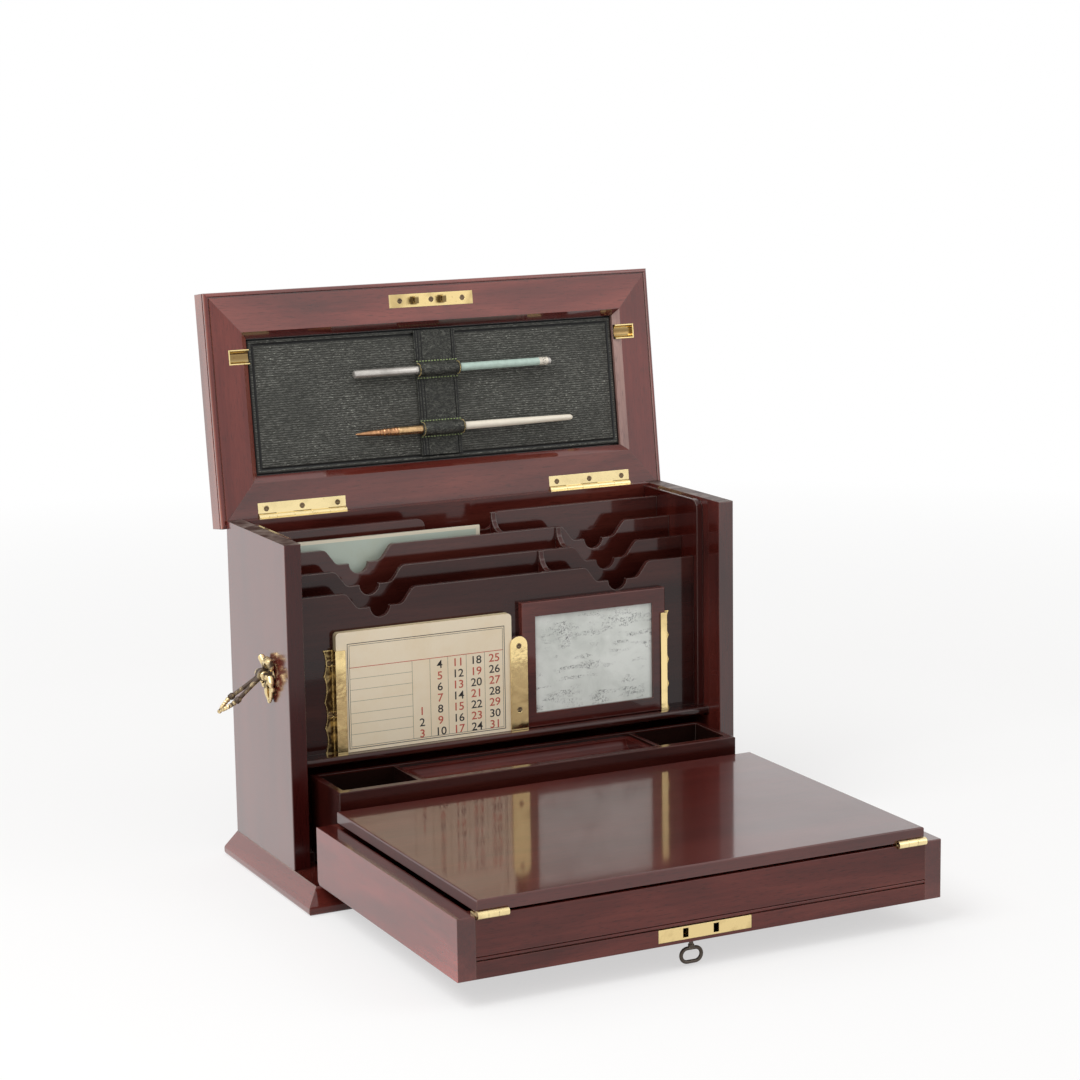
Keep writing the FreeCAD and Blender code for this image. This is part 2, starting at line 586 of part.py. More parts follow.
def in_lid(piece):
    """Tip a piece drawn in the closed lid's own frame, whose origin is on the hinge axis."""
    local = ["0", "0", "0"]
    for path, text in piece.ExpressionEngine:
        for index, axis in enumerate("xyz"):
            if path.strip(".") == f"Placement.Base.{axis}":
                local[index] = f"({text})"
    x, y, z = local
    turn = "Sizes.lid_open * 1 deg"
    piece.setExpression("Placement.Base.x", x)
    piece.setExpression("Placement.Base.y", f"Places.lid_axis_y + {y} * cos({turn}) + {z} * sin({turn})")
    piece.setExpression("Placement.Base.z", f"Places.lid_axis_z - {y} * sin({turn}) + {z} * cos({turn})")
    # a cylinder along X keeps its own turn and takes the lid's turn after it
    own = piece.Placement.Rotation
    tip = FreeCAD.Rotation(AXES["x"], -num("lid_open"))
    piece.Placement.Rotation = tip.multiply(own)


def screw(name, axis, head, x, y, z, sign=1):
    """A slotted wood screw; its head is level at the given point and it points along the axis."""
    centre = {"x": x, "y": y, "z": z}
    start = centre.pop(axis)
    others = list(centre.values())
    top = (start, f"{start} + {sign} * ({head})")
    body = (top[1], f"{top[1]} + {sign} * screw_long")
    slot = (start, f"{start} + {sign} * screw_slot_deep")
    if sign < 0:
        top, body, slot = [pair[::-1] for pair in (top, body, slot)]
    head_rod = rod(f"{name}_head", axis, top, others, "screw_head")
    body_rod = rod(f"{name}_body", axis, body, others, "screw_body")
    first, second = [letter for letter in "xyz" if letter != axis]
    sides = {axis: slot}
    sides[first] = (f"{centre[first]} - 2 * screw_head", f"{centre[first]} + 2 * screw_head")
    sides[second] = (f"{centre[second]} - screw_slot_wide / 2", f"{centre[second]} + screw_slot_wide / 2")
    groove = block(f"{name}_slot", sides["x"], sides["y"], sides["z"])
    return cut(name, join(f"{name}_blank", head_rod, body_rod), groove)


def screw_hole(name, axis, along, others):
    return rod(name, axis, along, others, "screw_head + pin_fit")


# ---------------------------------------------------------------- base and plinth

LEFT_RIGHT = (("left", -1), ("right", 1))
HALF = ("-half_wide", "half_wide")


def moulding_corners(inner, out):
    """Bevelled plinth moulding: across from the board's edge, and up."""
    return [(inner, "0"), (f"{inner} + {out}", "0"), (f"{inner} + {out}", "plinth_nose"),
            (inner, "floor_top")]


front_strip = shaped("PlinthFrontStrip", "x", ("-half_wide - plinth_side_out", "half_wide + plinth_side_out"),
                     moulding_corners("ledge_front", "-plinth_front_out"),
                     rounds=[("plinth_nose_round", (1, 2))])
front_plan = shaped("PlinthFrontPlan", "z", ("0", "floor_top"),
                    [("-half_wide", "ledge_front"),
                     ("-half_wide - plinth_side_out", "ledge_front - plinth_front_out"),
                     ("half_wide + plinth_side_out", "ledge_front - plinth_front_out"),
                     ("half_wide", "ledge_front")])

for side, sign in LEFT_RIGHT:
    strip = shaped(f"PlinthStrip_{side}", "y", ("ledge_front - plinth_front_out", "case_back"),
                   moulding_corners(f"{sign} * half_wide", f"{sign} * plinth_side_out"),
                   rounds=[("plinth_nose_round", (1, 2))])
    plan = shaped(f"PlinthPlan_{side}", "z", ("0", "floor_top"),
                  [(f"{sign} * half_wide", "ledge_front"),
                   (f"{sign} * (half_wide + plinth_side_out)", "ledge_front - plinth_front_out"),
                   (f"{sign} * (half_wide + plinth_side_out)", "case_back"),
                   (f"{sign} * half_wide", "case_back")])
    keep(f"plinth_{side}", common(f"Plinth_{side}", strip, plan))

# ---------------------------------------------------------------- case

WALL = ("floor_top", "case_top")
SIDE = ("inner_half", "half_wide")

keep("left_side", plank("LeftSide", mirror(SIDE), ("case_front", "case_back"), WALL, ("-y",)))
keep("right_side", plank("RightSide", SIDE, ("case_front", "case_back"), WALL, ("-y",)))


def hinge_stretch(at, wide):
    return f"{at} - {wide} / 2", f"{at} + {wide} / 2"


def lid_hinge_span(sign):
    return hinge_stretch(f"{sign} * lid_leaf_at", "lid_leaf_wide")


def fall_hinge_span(sign):
    return hinge_stretch(f"{sign} * fall_leaf_at", "fall_leaf_wide")


back_board = block("BackBoard", ("-inner_half", "inner_half"), ("back_face", "case_back"), WALL)
back_tools = []
for side, sign in LEFT_RIGHT:
    reach = lid_hinge_span(sign)
    back_tools.append(block(f"BackHousing_{side}", reach, ("lid_axis_y - case_leaf_deep", "case_back"),
                            ("case_top - lid_leaf_thick", "case_top")))
    back_tools.append(rod(f"BackGroove_{side}", "x", reach, ("lid_axis_y", "lid_axis_z"),
                          "lid_knuckle_round + knuckle_room"))
keep("back_panel", cut("BackPanel", back_board, *back_tools))

runner_span = ("tray_half + runner_play", "inner_half")
runner_deep = ("case_front + runner_start", "back_face")
runner_rise = ("floor_top", "floor_top + runner_high")
keep("tray_runners", group("TrayRunners",
                           block("RunnerLeft", mirror(runner_span), runner_deep, runner_rise),
                           block("RunnerRight", runner_span, runner_deep, runner_rise)))

keep("rack_shelf", shaped("RackShelf", "x", ("-inner_half", "inner_half"),
                          [("case_front + shelf_front", "shelf_under"),
                           ("back_face", "shelf_under"),
                           ("back_face", "shelf_top"),
                           ("case_front + shelf_front", "shelf_top")],
                          rounds=[("shelf_nose", (0, 3))]))

cheek_outline = [("case_front + cheek_front", "shelf_top"), ("back_face", "shelf_top"),
                 ("back_face", "case_top - cheek_drop"),
                 ("case_front + cheek_front", "case_top - cheek_drop")]
cheek_span = ("inner_half - joint_gap - cheek_thick", "inner_half - joint_gap")
for side, sign in LEFT_RIGHT:
    reach = cheek_span if sign > 0 else mirror(cheek_span)
    keep(f"{side}_cheek", shaped(f"Cheek_{side}", "x", reach, cheek_outline,
                                 rounds=[("cheek_round", (3,))]))

# ---------------------------------------------------------------- letter rack


def divider_front(order):
    return f"rack_face + {order} * divider_pitch"


def divider_height(order):
    return f"case_top - divider_drop + {order} * divider_rise"


def divider_span(order):
    front = divider_front(order)
    return front, f"{front} + slip_thick"


def notched_divider(name, order):
    top = divider_height(order)
    corners = [("-rack_half", "shelf_top"), ("rack_half", "shelf_top"), ("rack_half", top)]
    for centre in ("notch_at", "-notch_at"):
        corners += [(f"{centre} + notch_top_half", top),
                    (f"{centre} + notch_foot_half", f"{top} - notch_drop"),
                    (f"{centre} - notch_foot_half", f"{top} - notch_drop"),
                    (f"{centre} - notch_top_half", top)]
    corners.append(("-rack_half", top))
    ogee = tuple(range(3, 11))
    notches = [(centre, f"{top} - notch_drop", "notch_round") for centre in ("notch_at", "-notch_at")]
    return shaped(name, "y", divider_span(order), corners, rounds=[("notch_ogee", ogee)], holes=notches)


NOTCHED = ("front", "second", "third")
for order, name in enumerate(NOTCHED):
    keep(f"{name}_divider", notched_divider(f"Divider_{name}", order))

rear = len(NOTCHED)
rear_top = divider_height(rear)
keep("rear_divider", shaped("Divider_rear", "y", divider_span(rear),
                            [("-rack_half", "shelf_top"), ("rack_half", "shelf_top"), ("rack_half", rear_top),
                             ("dip_right", rear_top), ("dip_right", f"{rear_top} - dip_drop"),
                             ("dip_left", f"{rear_top} - dip_drop"), ("dip_left", rear_top),
                             ("-rack_half", rear_top)],
                            rounds=[("dip_round", (3, 4, 5, 6))]))

partitions = []
for order, place in enumerate(("partition_first", "partition_second", "partition_third")):
    near = f"{divider_front(order)} + slip_thick"
    far = divider_front(order + 1)
    low = divider_height(order)
    high = divider_height(order + 1)
    partitions.append(shaped(f"Partition_{order}", "x", (place, f"{place} + slip_thick"),
                             [(near, "shelf_top"), (far, "shelf_top"), (far, high),
                              (f"{far} - partition_lip", high), (f"{far} - partition_lip", low),
                              (near, low)],
                             rounds=[("divider_rise * partition_curve", (4,))]))
keep("partitions", group("Partitions", *partitions))

# ---------------------------------------------------------------- clips on the front divider

SHELF_CLEAR = "shelf_top + loose_fit"
calendar_right = "calendar_left + calendar_wide"
memo_right = "memo_left + memo_wide"
clip_rise = ("shelf_top", "shelf_top + clip_high")
lip_deep = ("lip_face - clip_thick", "lip_face")
CLIP_SCREWS = ("clip_screw_low", "clip_screw_high")


def scalloped_clip(name, sign, edge, lip, flange):
    """A channel that holds one edge of a loose piece: a lip, a wall and a scalloped flange."""
    wall_in = f"{edge} + {sign} * loose_fit"
    wall_out = f"{wall_in} + {sign} * clip_thick"
    flange_out = f"{wall_out} + {sign} * {flange}"
    lip_in = f"{edge} - {sign} * {lip}"

    def ordered(low, high):
        return (low, high) if sign > 0 else (high, low)

    lip_plate = block(f"{name}_lip", ordered(lip_in, wall_out), lip_deep, clip_rise)
    wall = block(f"{name}_wall", ordered(wall_in, wall_out), ("lip_face - clip_thick", "rack_face"), clip_rise)
    plate = block(f"{name}_flange", ordered(wall_in, flange_out), ("rack_face - clip_thick", "rack_face"),
                  clip_rise)
    hollows = []
    scallops = round(num("clip_scallops"))
    for index in range(scallops):
        middle = f"shelf_top + clip_high * ({index} + 0.5) / {scallops}"
        radius = f"(clip_high / {2 * scallops} * clip_high / {2 * scallops} + scallop_deep * scallop_deep)"
        radius = f"{radius} / (2 * scallop_deep)"
        hollows.append(rod(f"{name}_scallop_{index}", "y", ("rack_face - 2 * clip_thick", "rack_face"),
                           (f"{flange_out} + {sign} * ({radius} - scallop_deep)", middle), radius))
    for share in CLIP_SCREWS:
        hollows.append(screw_hole(f"{name}_{share}", "y", ("rack_face - 2 * clip_thick", "rack_face"),
                                  (clip_screw_x(sign, edge), f"shelf_top + clip_high * {share}")))
    return cut(name, join(f"{name}_blank", lip_plate, wall, plate), *hollows)


def clip_screw_x(sign, edge):
    return f"{edge} + {sign} * (loose_fit + clip_thick + screw_head + pin_fit)"


keep("left_clip", scalloped_clip("LeftClip", -1, "calendar_left", "clip_lip", "clip_flange"))
keep("right_clip", scalloped_clip("RightClip", 1, memo_right, "clip_lip_right", "clip_flange_right"))

strip_middle = "strip_left + strip_wide / 2"
STRIP_SCREWS = ("strip_screw_low", "strip_screw_high")
strip_holes = [f"shelf_top - strip_low + strip_high * {share}" for share in STRIP_SCREWS]
strip_span = ("strip_left", "strip_left + strip_wide")
strip_rise = ("shelf_top + loose_fit", "shelf_top - strip_low + strip_high")
strip_plate = shaped("CentreStripPlate", "y", lip_deep,
                     [(strip_span[0], strip_rise[0]), (strip_span[1], strip_rise[0]),
                      (strip_span[1], strip_rise[1]), (strip_span[0], strip_rise[1])],
                     rounds=[("strip_wide / 2 - joint_gap", (2, 3))],
                     holes=[(strip_middle, height, "screw_head + pin_fit") for height in strip_holes])
keep("centre_strip", strip_plate)
keep("strip_batten", block("StripBatten", (f"{calendar_right} + loose_fit", "memo_left - loose_fit"),
                           ("lip_face", "rack_face"), ("shelf_top", strip_rise[1])))

clip_screws = []
for order, height in enumerate(strip_holes):
    clip_screws.append(screw(f"StripScrew_{order}", "y", "clip_thick", strip_middle,
                             "lip_face - clip_thick", height))
for side, sign, edge in (("left", -1, "calendar_left"), ("right", 1, memo_right)):
    for share in CLIP_SCREWS:
        clip_screws.append(screw(f"ClipScrew_{side}_{share}", "y", "clip_thick", clip_screw_x(sign, edge),
                                 "rack_face - clip_thick", f"shelf_top + clip_high * {share}"))
keep("clip_screws", group("ClipScrews", *clip_screws))

# ---------------------------------------------------------------- calendar, tablet and letter card

calendar_deep = ("rack_face - loose_fit - calendar_thick", "rack_face - loose_fit")
keep("calendar_cards", shaped("CalendarCards", "y", calendar_deep,
                              [("calendar_left", SHELF_CLEAR), (calendar_right, SHELF_CLEAR),
                               (calendar_right, f"{SHELF_CLEAR} + calendar_high"),
                               ("calendar_left", f"{SHELF_CLEAR} + calendar_high")],
                              rounds=[("card_round", (2, 3))]))

memo_deep = ("rack_face - loose_fit - memo_thick", "rack_face - loose_fit")
memo_rise = (SHELF_CLEAR, f"{SHELF_CLEAR} + memo_high")
memo_blank = plank("MemoBlank", ("memo_left", memo_right), memo_deep, memo_rise, ("-y",))
memo_window = block("MemoWindow", ("memo_left + memo_border", f"{memo_right} - memo_border"),
                    (f"{memo_deep[0]} - memo_thick", f"{memo_deep[1]} + memo_thick"),
                    (f"{memo_rise[0]} + memo_border", f"{memo_rise[1]} - memo_border"))
slab_span = ("memo_left + memo_border - memo_rebate", f"{memo_right} - memo_border + memo_rebate")
slab_rise = (f"{memo_rise[0]} + memo_border - memo_rebate", f"{memo_rise[1]} - memo_border + memo_rebate")
slab_deep = (f"{memo_deep[0]} + memo_rebate", f"{memo_deep[0]} + memo_rebate + memo_slab")
memo_pocket = block("MemoRebate", slab_span, (slab_deep[0], f"{memo_deep[1]} + memo_thick"), slab_rise)
keep("memo_frame", cut("MemoFrame", memo_blank, memo_window, memo_pocket))
keep("memo_tablet", block("MemoTablet", slab_span, slab_deep, slab_rise))

keep("letter_card", block("LetterCard", ("letter_left", "letter_left + letter_wide"),
                          ("case_front + letter_at", "case_front + letter_at + letter_thick"),
                          (SHELF_CLEAR, "letter_top")))

# ---------------------------------------------------------------- pen tray

tray_rise = ("tray_under", "tray_top")
tray_inner = ("-tray_half + tray_wall", "tray_half - tray_wall")
well_deep = ("tray_front + tray_front_thick", "tray_back - tray_wall")
tray_blank = plank("TrayBlank", ("-tray_half", "tray_half"), ("tray_front", "tray_back"), tray_rise, ("+z",))
tray_hollow = block("TrayHollow", tray_inner, well_deep, ("tray_under + tray_floor", "tray_top + tray_floor"))
keep("tray_box", cut("TrayBox", tray_blank, tray_hollow))

slip_deep = (f"{well_deep[0]} + joint_gap", f"{well_deep[1]} - joint_gap")
slip_rise = ("tray_under + tray_floor", "tray_top - edge_round")
left_slip = (f"{tray_inner[0]} + well_left", f"{tray_inner[0]} + well_left + tray_slip")
right_slip = (f"{tray_inner[1]} - well_right - tray_slip", f"{tray_inner[1]} - well_right")
keep("tray_dividers", group("TrayDividers",
                            block("TrayDividerLeft", left_slip, slip_deep, slip_rise),
                            block("TrayDividerRight", right_slip, slip_deep, slip_rise)))

trough_span = (f"{left_slip[1]} + joint_gap", f"{right_slip[0]} - joint_gap")
trough_rise = ("tray_top - trough_sink - trough_thick", "tray_top - trough_sink")
trough_blank = block("TroughBlank", trough_span, slip_deep, trough_rise)
trough_long = (f"{trough_span[0]} + trough_wall", f"{trough_span[1]} - trough_wall")
trough_hollow = shaped("TroughHollow", "x", trough_long,
                       [(f"{slip_deep[0]} + trough_wall", f"{trough_rise[1]} - trough_deep"),
                        (f"{slip_deep[1]} - trough_wall", f"{trough_rise[1]} - trough_deep"),
                        (f"{slip_deep[1]} - trough_wall", f"{trough_rise[1]} + trough_deep"),
                        (f"{slip_deep[0]} + trough_wall", f"{trough_rise[1]} + trough_deep")],
                       rounds=[("trough_deep - joint_gap", (0, 1))])
keep("pen_trough", cut("PenTrough", trough_blank, trough_hollow))

# ---------------------------------------------------------------- fall front

fall_deep = ("fall_front", "fall_rear")
lock_span = ("lock_left", "lock_right")


def fall_side(name, sign):
    inner = ("fall_inner", "fall_half")
    return shaped(name, "x", inner if sign > 0 else mirror(inner),
                  [("fall_front", "fall_under"), ("fall_rear - fall_heel_cut", "fall_under"),
                   ("fall_rear", "fall_under + fall_heel_cut"), ("fall_rear", "fall_top"),
                   ("fall_front", "fall_top")],
                  rounds=[("edge_round", (0, 3, 4))])


keep("fall_sides", group("FallSides", fall_side("FallLeftSide", -1), fall_side("FallRightSide", 1)))

panel_span = ("-fall_inner + joint_gap", "fall_inner - joint_gap")
panel_board = shaped("FallPanelBoard", "x", panel_span,
                     [("fall_front", "fall_under"), ("fall_rear - fall_heel_cut", "fall_under"),
                      ("fall_rear", "fall_under + fall_heel_cut"), ("fall_rear", "fall_panel_top"),
                      ("fall_front", "fall_panel_top")],
                     rounds=[("edge_round", (0,))])
mortise = block("LockMortise", ("lock_left - lock_room", "lock_right + lock_room"),
                ("fall_front - lock_deep", "lock_back + lock_room"),
                ("lock_under - lock_room", "fall_panel_top + lock_high"))
key_y = "fall_front + key_in"
key_hole = rod("KeyHole", "z", ("0", "lock_middle"), ("key_at", key_y), "key_round + key_hole_play")
bit_reach = "key_at - key_round - key_bit_long"
key_slot = block("KeySlot", (f"{bit_reach} - bolt_play", "key_at"),
                 (f"{key_y} - key_bit_thick / 2 - bolt_play", f"{key_y} + key_bit_thick / 2 + bolt_play"),
                 ("0", "lock_under + lock_wall"))

rail_rise = ("fall_panel_top + joint_gap", "fall_top")
bead_low = f"{rail_rise[0]} + fall_groove_wide"
bead_top = f"{bead_low} + fall_bead_high"
groove_back = "fall_front + fall_groove_deep"
front_rail = shaped("FallFrontRailBoard", "x", panel_span,
                    [("fall_front", f"{bead_top} + fall_groove_wide"),
                     (groove_back, f"{bead_top} + fall_groove_wide"),
                     (groove_back, bead_top), ("fall_front", bead_top),
                     ("fall_front", bead_low), (groove_back, bead_low),
                     (groove_back, rail_rise[0]),
                     ("fall_front + fall_rail_thick", rail_rise[0]),
                     ("fall_front + fall_rail_thick", "fall_top"),
                     ("fall_front", "fall_top")],
                    rounds=[("fall_bead_round", (3, 4)), ("edge_round", (9,))])
back_rail = block("FallBackRailBoard", panel_span, ("fall_rear - fall_rail_thick", "fall_rear"), rail_rise)


# ---------------------------------------------------------------- hinges


def hinge_leaf(name, reach, plate, clear, centre, radii, knuckles, outer):
    """One leaf of a butt hinge: a plate with gaps for the other leaf's knuckles, and its own knuckles.

    radii are those of the knuckles and of the pin, and knuckles is their number along the whole pin;
    the outer leaf has the first and the last of them.
    """
    radius, pin = radii
    count = round(num(knuckles))
    length = f"({span(reach)}) / {count}"
    gaps = []
    rolls = []
    for pick in range(count):
        start = f"{reach[0]} + {length} * {pick}"
        end = f"{start} + {length}"
        if (pick % 2 == 0) == outer:
            rolls.append(rod(f"{name}_knuckle_{pick}", "x",
                             (f"{start} + knuckle_gap / 2", f"{end} - knuckle_gap / 2"), centre, radius))
        else:
            gaps.append(block(f"{name}_gap_{pick}", (f"{start} - knuckle_gap / 2", f"{end} + knuckle_gap / 2"),
                              *clear))
    comb = cut(f"{name}_comb", block(f"{name}_plate", reach, *plate), *gaps)
    bore = rod(f"{name}_bore", "x", (f"{reach[0]} - knuckle_gap", f"{reach[1]} + knuckle_gap"), centre,
               f"{pin} + pin_fit")
    return cut(name, join(f"{name}_blank", comb, *rolls), bore)


def hinge_pin(name, reach, centre, radius):
    return rod(name, "x", (f"{reach[0]} + knuckle_gap / 2", f"{reach[1]} - knuckle_gap / 2"), centre, radius)


def around(centre, radius):
    """The stretch that a knuckle and its clearance take up on either side of the pin."""
    return f"{centre} - {radius} - knuckle_room", f"{centre} + {radius} + knuckle_room"


# hinges of the fall, at the front edge of the base board
FALL_PIN = ("fall_axis_y", "floor_top")
FALL_RADII = ("fall_knuckle_round", "fall_pin_round")
FALL_CLEAR = (around("fall_axis_y", "fall_knuckle_round"), around("floor_top", "fall_knuckle_round"))
ledge_plate = (("fall_axis_y", "fall_axis_y + fall_leaf_deep"), ("floor_top - fall_leaf_thick", "floor_top"))
heel_plate = (("fall_rear - fall_leaf_thick", "fall_rear"), ("floor_top", "floor_top + fall_leaf_deep"))
ledge_leaves = []
heel_leaves = []
case_pins = []
ledge_tools = []
heel_tools = []
for side, sign in LEFT_RIGHT:
    reach = fall_hinge_span(sign)
    ledge_leaves.append(hinge_leaf(f"LedgeLeaf_{side}", reach, ledge_plate, FALL_CLEAR, FALL_PIN, FALL_RADII,
                                   "hinge_knuckles", True))
    heel_leaves.append(hinge_leaf(f"HeelLeaf_{side}", reach, heel_plate, FALL_CLEAR, FALL_PIN, FALL_RADII,
                                  "hinge_knuckles", False))
    case_pins.append(hinge_pin(f"FallPin_{side}", reach, FALL_PIN, "fall_pin_round"))
    ledge_tools.append(block(f"LedgeHousing_{side}", reach, *ledge_plate))
    ledge_tools.append(rod(f"LedgeGroove_{side}", "x", reach, FALL_PIN, "fall_knuckle_round + knuckle_room"))
    heel_tools.append(block(f"HeelHousing_{side}", reach, *heel_plate))

base_blank = block("BaseBlank", HALF, ("ledge_front", "case_back"), ("0", "floor_top"))
keep("base_board", cut("BaseBoard", base_blank, *ledge_tools))
keep("plinth_front", cut("PlinthFront", common("PlinthFrontMitred", front_strip, front_plan), *ledge_tools))
keep("ledge_hinge_leaves", group("LedgeLeaves", *ledge_leaves))
keep("fall_hinge_leaves", group("HeelLeaves", *heel_leaves))
keep("fall_panel", cut("FallPanel", panel_board, mortise, key_hole, key_slot, *heel_tools))
keep("fall_back_rail", back_rail)

# hinges of the lid, let into the top of the back panel and into the lid's back rail
LID_RADII = ("lid_knuckle_round", "lid_pin_round")
LID_PIN = ("lid_axis_y", "lid_axis_z")
LID_CLEAR = (around("lid_axis_y", "lid_knuckle_round"), around("lid_axis_z", "lid_knuckle_round"))
case_plate = (("lid_axis_y - case_leaf_deep", "lid_axis_y"), ("case_top - lid_leaf_thick", "case_top"))
case_leaves = []
for side, sign in LEFT_RIGHT:
    reach = lid_hinge_span(sign)
    case_leaves.append(hinge_leaf(f"CaseLeaf_{side}", reach, case_plate, LID_CLEAR, LID_PIN, LID_RADII,
                                  "hinge_knuckles", True))
    case_pins.append(hinge_pin(f"LidPin_{side}", reach, LID_PIN, "lid_pin_round"))
keep("case_hinge_leaves", group("CaseLeaves", *case_leaves))
keep("case_hinge_pins", group("CasePins", *case_pins))

# small hinges of the writing board, at the front of the fall
BOARD_PIN = ("board_axis_y", "board_axis_z")
BOARD_RADII = ("board_knuckle_round", "board_pin_round")
BOARD_CLEAR = (around("board_axis_y", "board_knuckle_round"), around("board_axis_z", "board_knuckle_round"))
board_leaf_y = ("board_axis_y", "board_axis_y + board_leaf_deep")
rim_plate = (board_leaf_y, ("fall_top", "fall_top + board_leaf_thick"))
board_plate = (board_leaf_y, ("board_under - board_leaf_thick", "board_under"))
rim_leaves = []
board_leaves = []
board_pins = []
board_tools = []
for side, sign in LEFT_RIGHT:
    reach = ("board_leaf_out - board_leaf_wide", "board_leaf_out")
    if sign < 0:
        reach = mirror(reach)
    rim_leaves.append(hinge_leaf(f"RimLeaf_{side}", reach, rim_plate, BOARD_CLEAR, BOARD_PIN, BOARD_RADII,
                                 "board_knuckles", True))
    board_leaves.append(hinge_leaf(f"BoardLeaf_{side}", reach, board_plate, BOARD_CLEAR, BOARD_PIN, BOARD_RADII,
                                   "board_knuckles", False))
    board_pins.append(hinge_pin(f"BoardPin_{side}", reach, BOARD_PIN, "board_pin_round"))
    board_tools.append(rod(f"BoardGroove_{side}", "x",
                           (f"{reach[0]} - knuckle_room", f"{reach[1]} + knuckle_room"),
                           BOARD_PIN, "board_knuckle_round + knuckle_room"))
keep("rim_hinge_leaves", group("RimLeaves", *rim_leaves))
keep("board_hinge_leaves", group("BoardLeaves", *board_leaves))
keep("board_hinge_pins", group("BoardPins", *board_pins))
keep("fall_front_rail", cut("FallFrontRail", front_rail, *board_tools))

board_blank = plank("BoardBlank", ("-board_half", "board_half"), ("fall_front", "fall_front + board_long"),
                    ("board_under", "board_under + board_thick"), ("-z", "+z"), "board_round")
keep("writing_board", cut("WritingBoard", board_blank, *board_tools))

# ---------------------------------------------------------------- lock, bolt and key

STAPLES = ("staple_left", "staple_right")
lock_rise = ("lock_under", "lock_top")
lock_inner = ("lock_left + lock_wall", "lock_right - lock_wall")
lock_blank = block("LockBlank", lock_span, ("fall_front", "lock_back"), lock_rise)
lock_hollow = block("LockHollow", lock_inner, ("fall_front + lock_wall", "lock_back - lock_wall"),
                    ("lock_under + lock_wall", "lock_top - lock_wall"))
lock_slots = []
for staple in STAPLES:
    lock_slots.append(block(f"LockSlot_{staple}", hinge_stretch(f"lock_at + {staple}", "lock_slot_wide"),
                            ("fall_front - lock_wall", "fall_front + 2 * lock_wall"),
                            hinge_stretch("lock_middle", "lock_slot_high")))
keep("lock_case", cut("LockCase", lock_blank, lock_hollow, key_hole, key_slot, *lock_slots))

bolt_rise = ("lock_top - lock_wall - bolt_play - bolt_thick", "lock_top - lock_wall - bolt_play")
bar_deep = ("lock_back - lock_wall - bolt_play - bolt_deep", "lock_back - lock_wall - bolt_play")
nib_deep = hinge_stretch("nib_y", "bolt_nib")
nib_rise = hinge_stretch("lock_middle", "bolt_nib")
bolt_parts = []
arm_ends = []
for staple in STAPLES:
    tip = f"lock_at + {staple} - lock_slot_wide / 2 - bolt_play"
    arm = (f"{tip} - bolt_nib_long - bolt_arm", f"{tip} - bolt_nib_long")
    bolt_parts.append(block(f"BoltNib_{staple}", (arm[0], tip), nib_deep, nib_rise))
    bolt_parts.append(block(f"BoltArm_{staple}", arm, (nib_deep[0], bar_deep[1]), (nib_rise[0], bolt_rise[1])))
    arm_ends.append(arm)
bolt_parts.append(block("BoltBar", (arm_ends[0][0], arm_ends[1][1]), bar_deep, bolt_rise))
keep("lock_bolt", join("LockBolt", *bolt_parts))


bit_low = "lock_under + lock_wall + bolt_play"
bow_top = "fall_under - key_neck"
stem = rod("KeyStem", "z", (f"{bow_top} - key_bow_round", f"{bit_low} + key_bit_high"), ("key_at", key_y),
           "key_round")
collar = rod("KeyCollar", "z", (f"{bow_top} - key_bow_round", f"{bow_top} + key_bow_round"), ("key_at", key_y),
             "key_round + key_bow_round / 2")
bit = block("KeyBit", (bit_reach, "key_at"), hinge_stretch(key_y, "key_bit_thick"),
            (bit_low, f"{bit_low} + key_bit_high"))
bow_wire = num("key_bow_round")
bow_turn = num("key_bow_high / 2 - key_bow_round")
bow_reach = num("key_bow_wide / 2") - bow_wire - bow_turn
bow_shape = Part.makeCylinder(bow_wire, 2 * bow_reach, Vector(-bow_reach, 0, bow_turn), AXES["x"])
bow_side = Part.makeCylinder(bow_wire, 2 * bow_reach, Vector(-bow_reach, 0, -bow_turn), AXES["x"])
bow_shape = bow_shape.fuse(bow_side)
for sign in (-1, 1):
    end = Part.makeTorus(bow_turn, bow_wire, Vector(0, 0, 0), AXES["z"], 0, 360, 180)
    end.rotate(Vector(0, 0, 0), AXES["x"], 90)
    end.rotate(Vector(0, 0, 0), AXES["y"], 90 * sign)
    end.translate(Vector(sign * bow_reach, 0, 0))
    bow_shape = bow_shape.fuse(end)
bow = drawn("KeyBow", bow_shape)
put(bow, "key_at", key_y, f"{bow_top} - key_bow_high / 2")
keep("key", join("Key", stem, collar, bit, bow))

# ---------------------------------------------------------------- lid, drawn shut about its own hinge axis

bead_foot = "lid_face + lid_bead_high"
bead_end = f"{bead_foot} + lid_groove_wide"


def rail_section(outer, inner, sign, beaded):
    """Section of a lid rail, from its bevelled inner edge to its outer edge."""
    rebate = f"{inner} + {sign} * lid_rebate"
    section = [(f"{inner} + {sign} * lid_bevel", "lid_face"), (inner, "lid_face + lid_bevel"),
               (inner, "panel_face"), (rebate, "panel_face"), (rebate, "lid_top"), (outer, "lid_top")]
    if not beaded:
        return [*section, (outer, "lid_face")]
    groove = f"{outer} - {sign} * lid_groove_deep"
    bead_side = f"{outer} - {sign} * lid_bead_wide"
    quirk = f"{bead_side} - {sign} * lid_groove_wide"
    sunk = "lid_face + lid_groove_deep"
    return [*section, (outer, bead_end), (groove, bead_end), (groove, bead_foot), (outer, bead_foot),
            (outer, "lid_face"), (bead_side, "lid_face"), (bead_side, sunk), (quirk, sunk),
            (quirk, "lid_face")]


def frame_corners(right, front, back):
    """Corners of a rectangle about the middle: front left, front right, back right, back left."""
    return [(f"-({right})", front), (right, front), (right, back), (f"-({right})", back)]


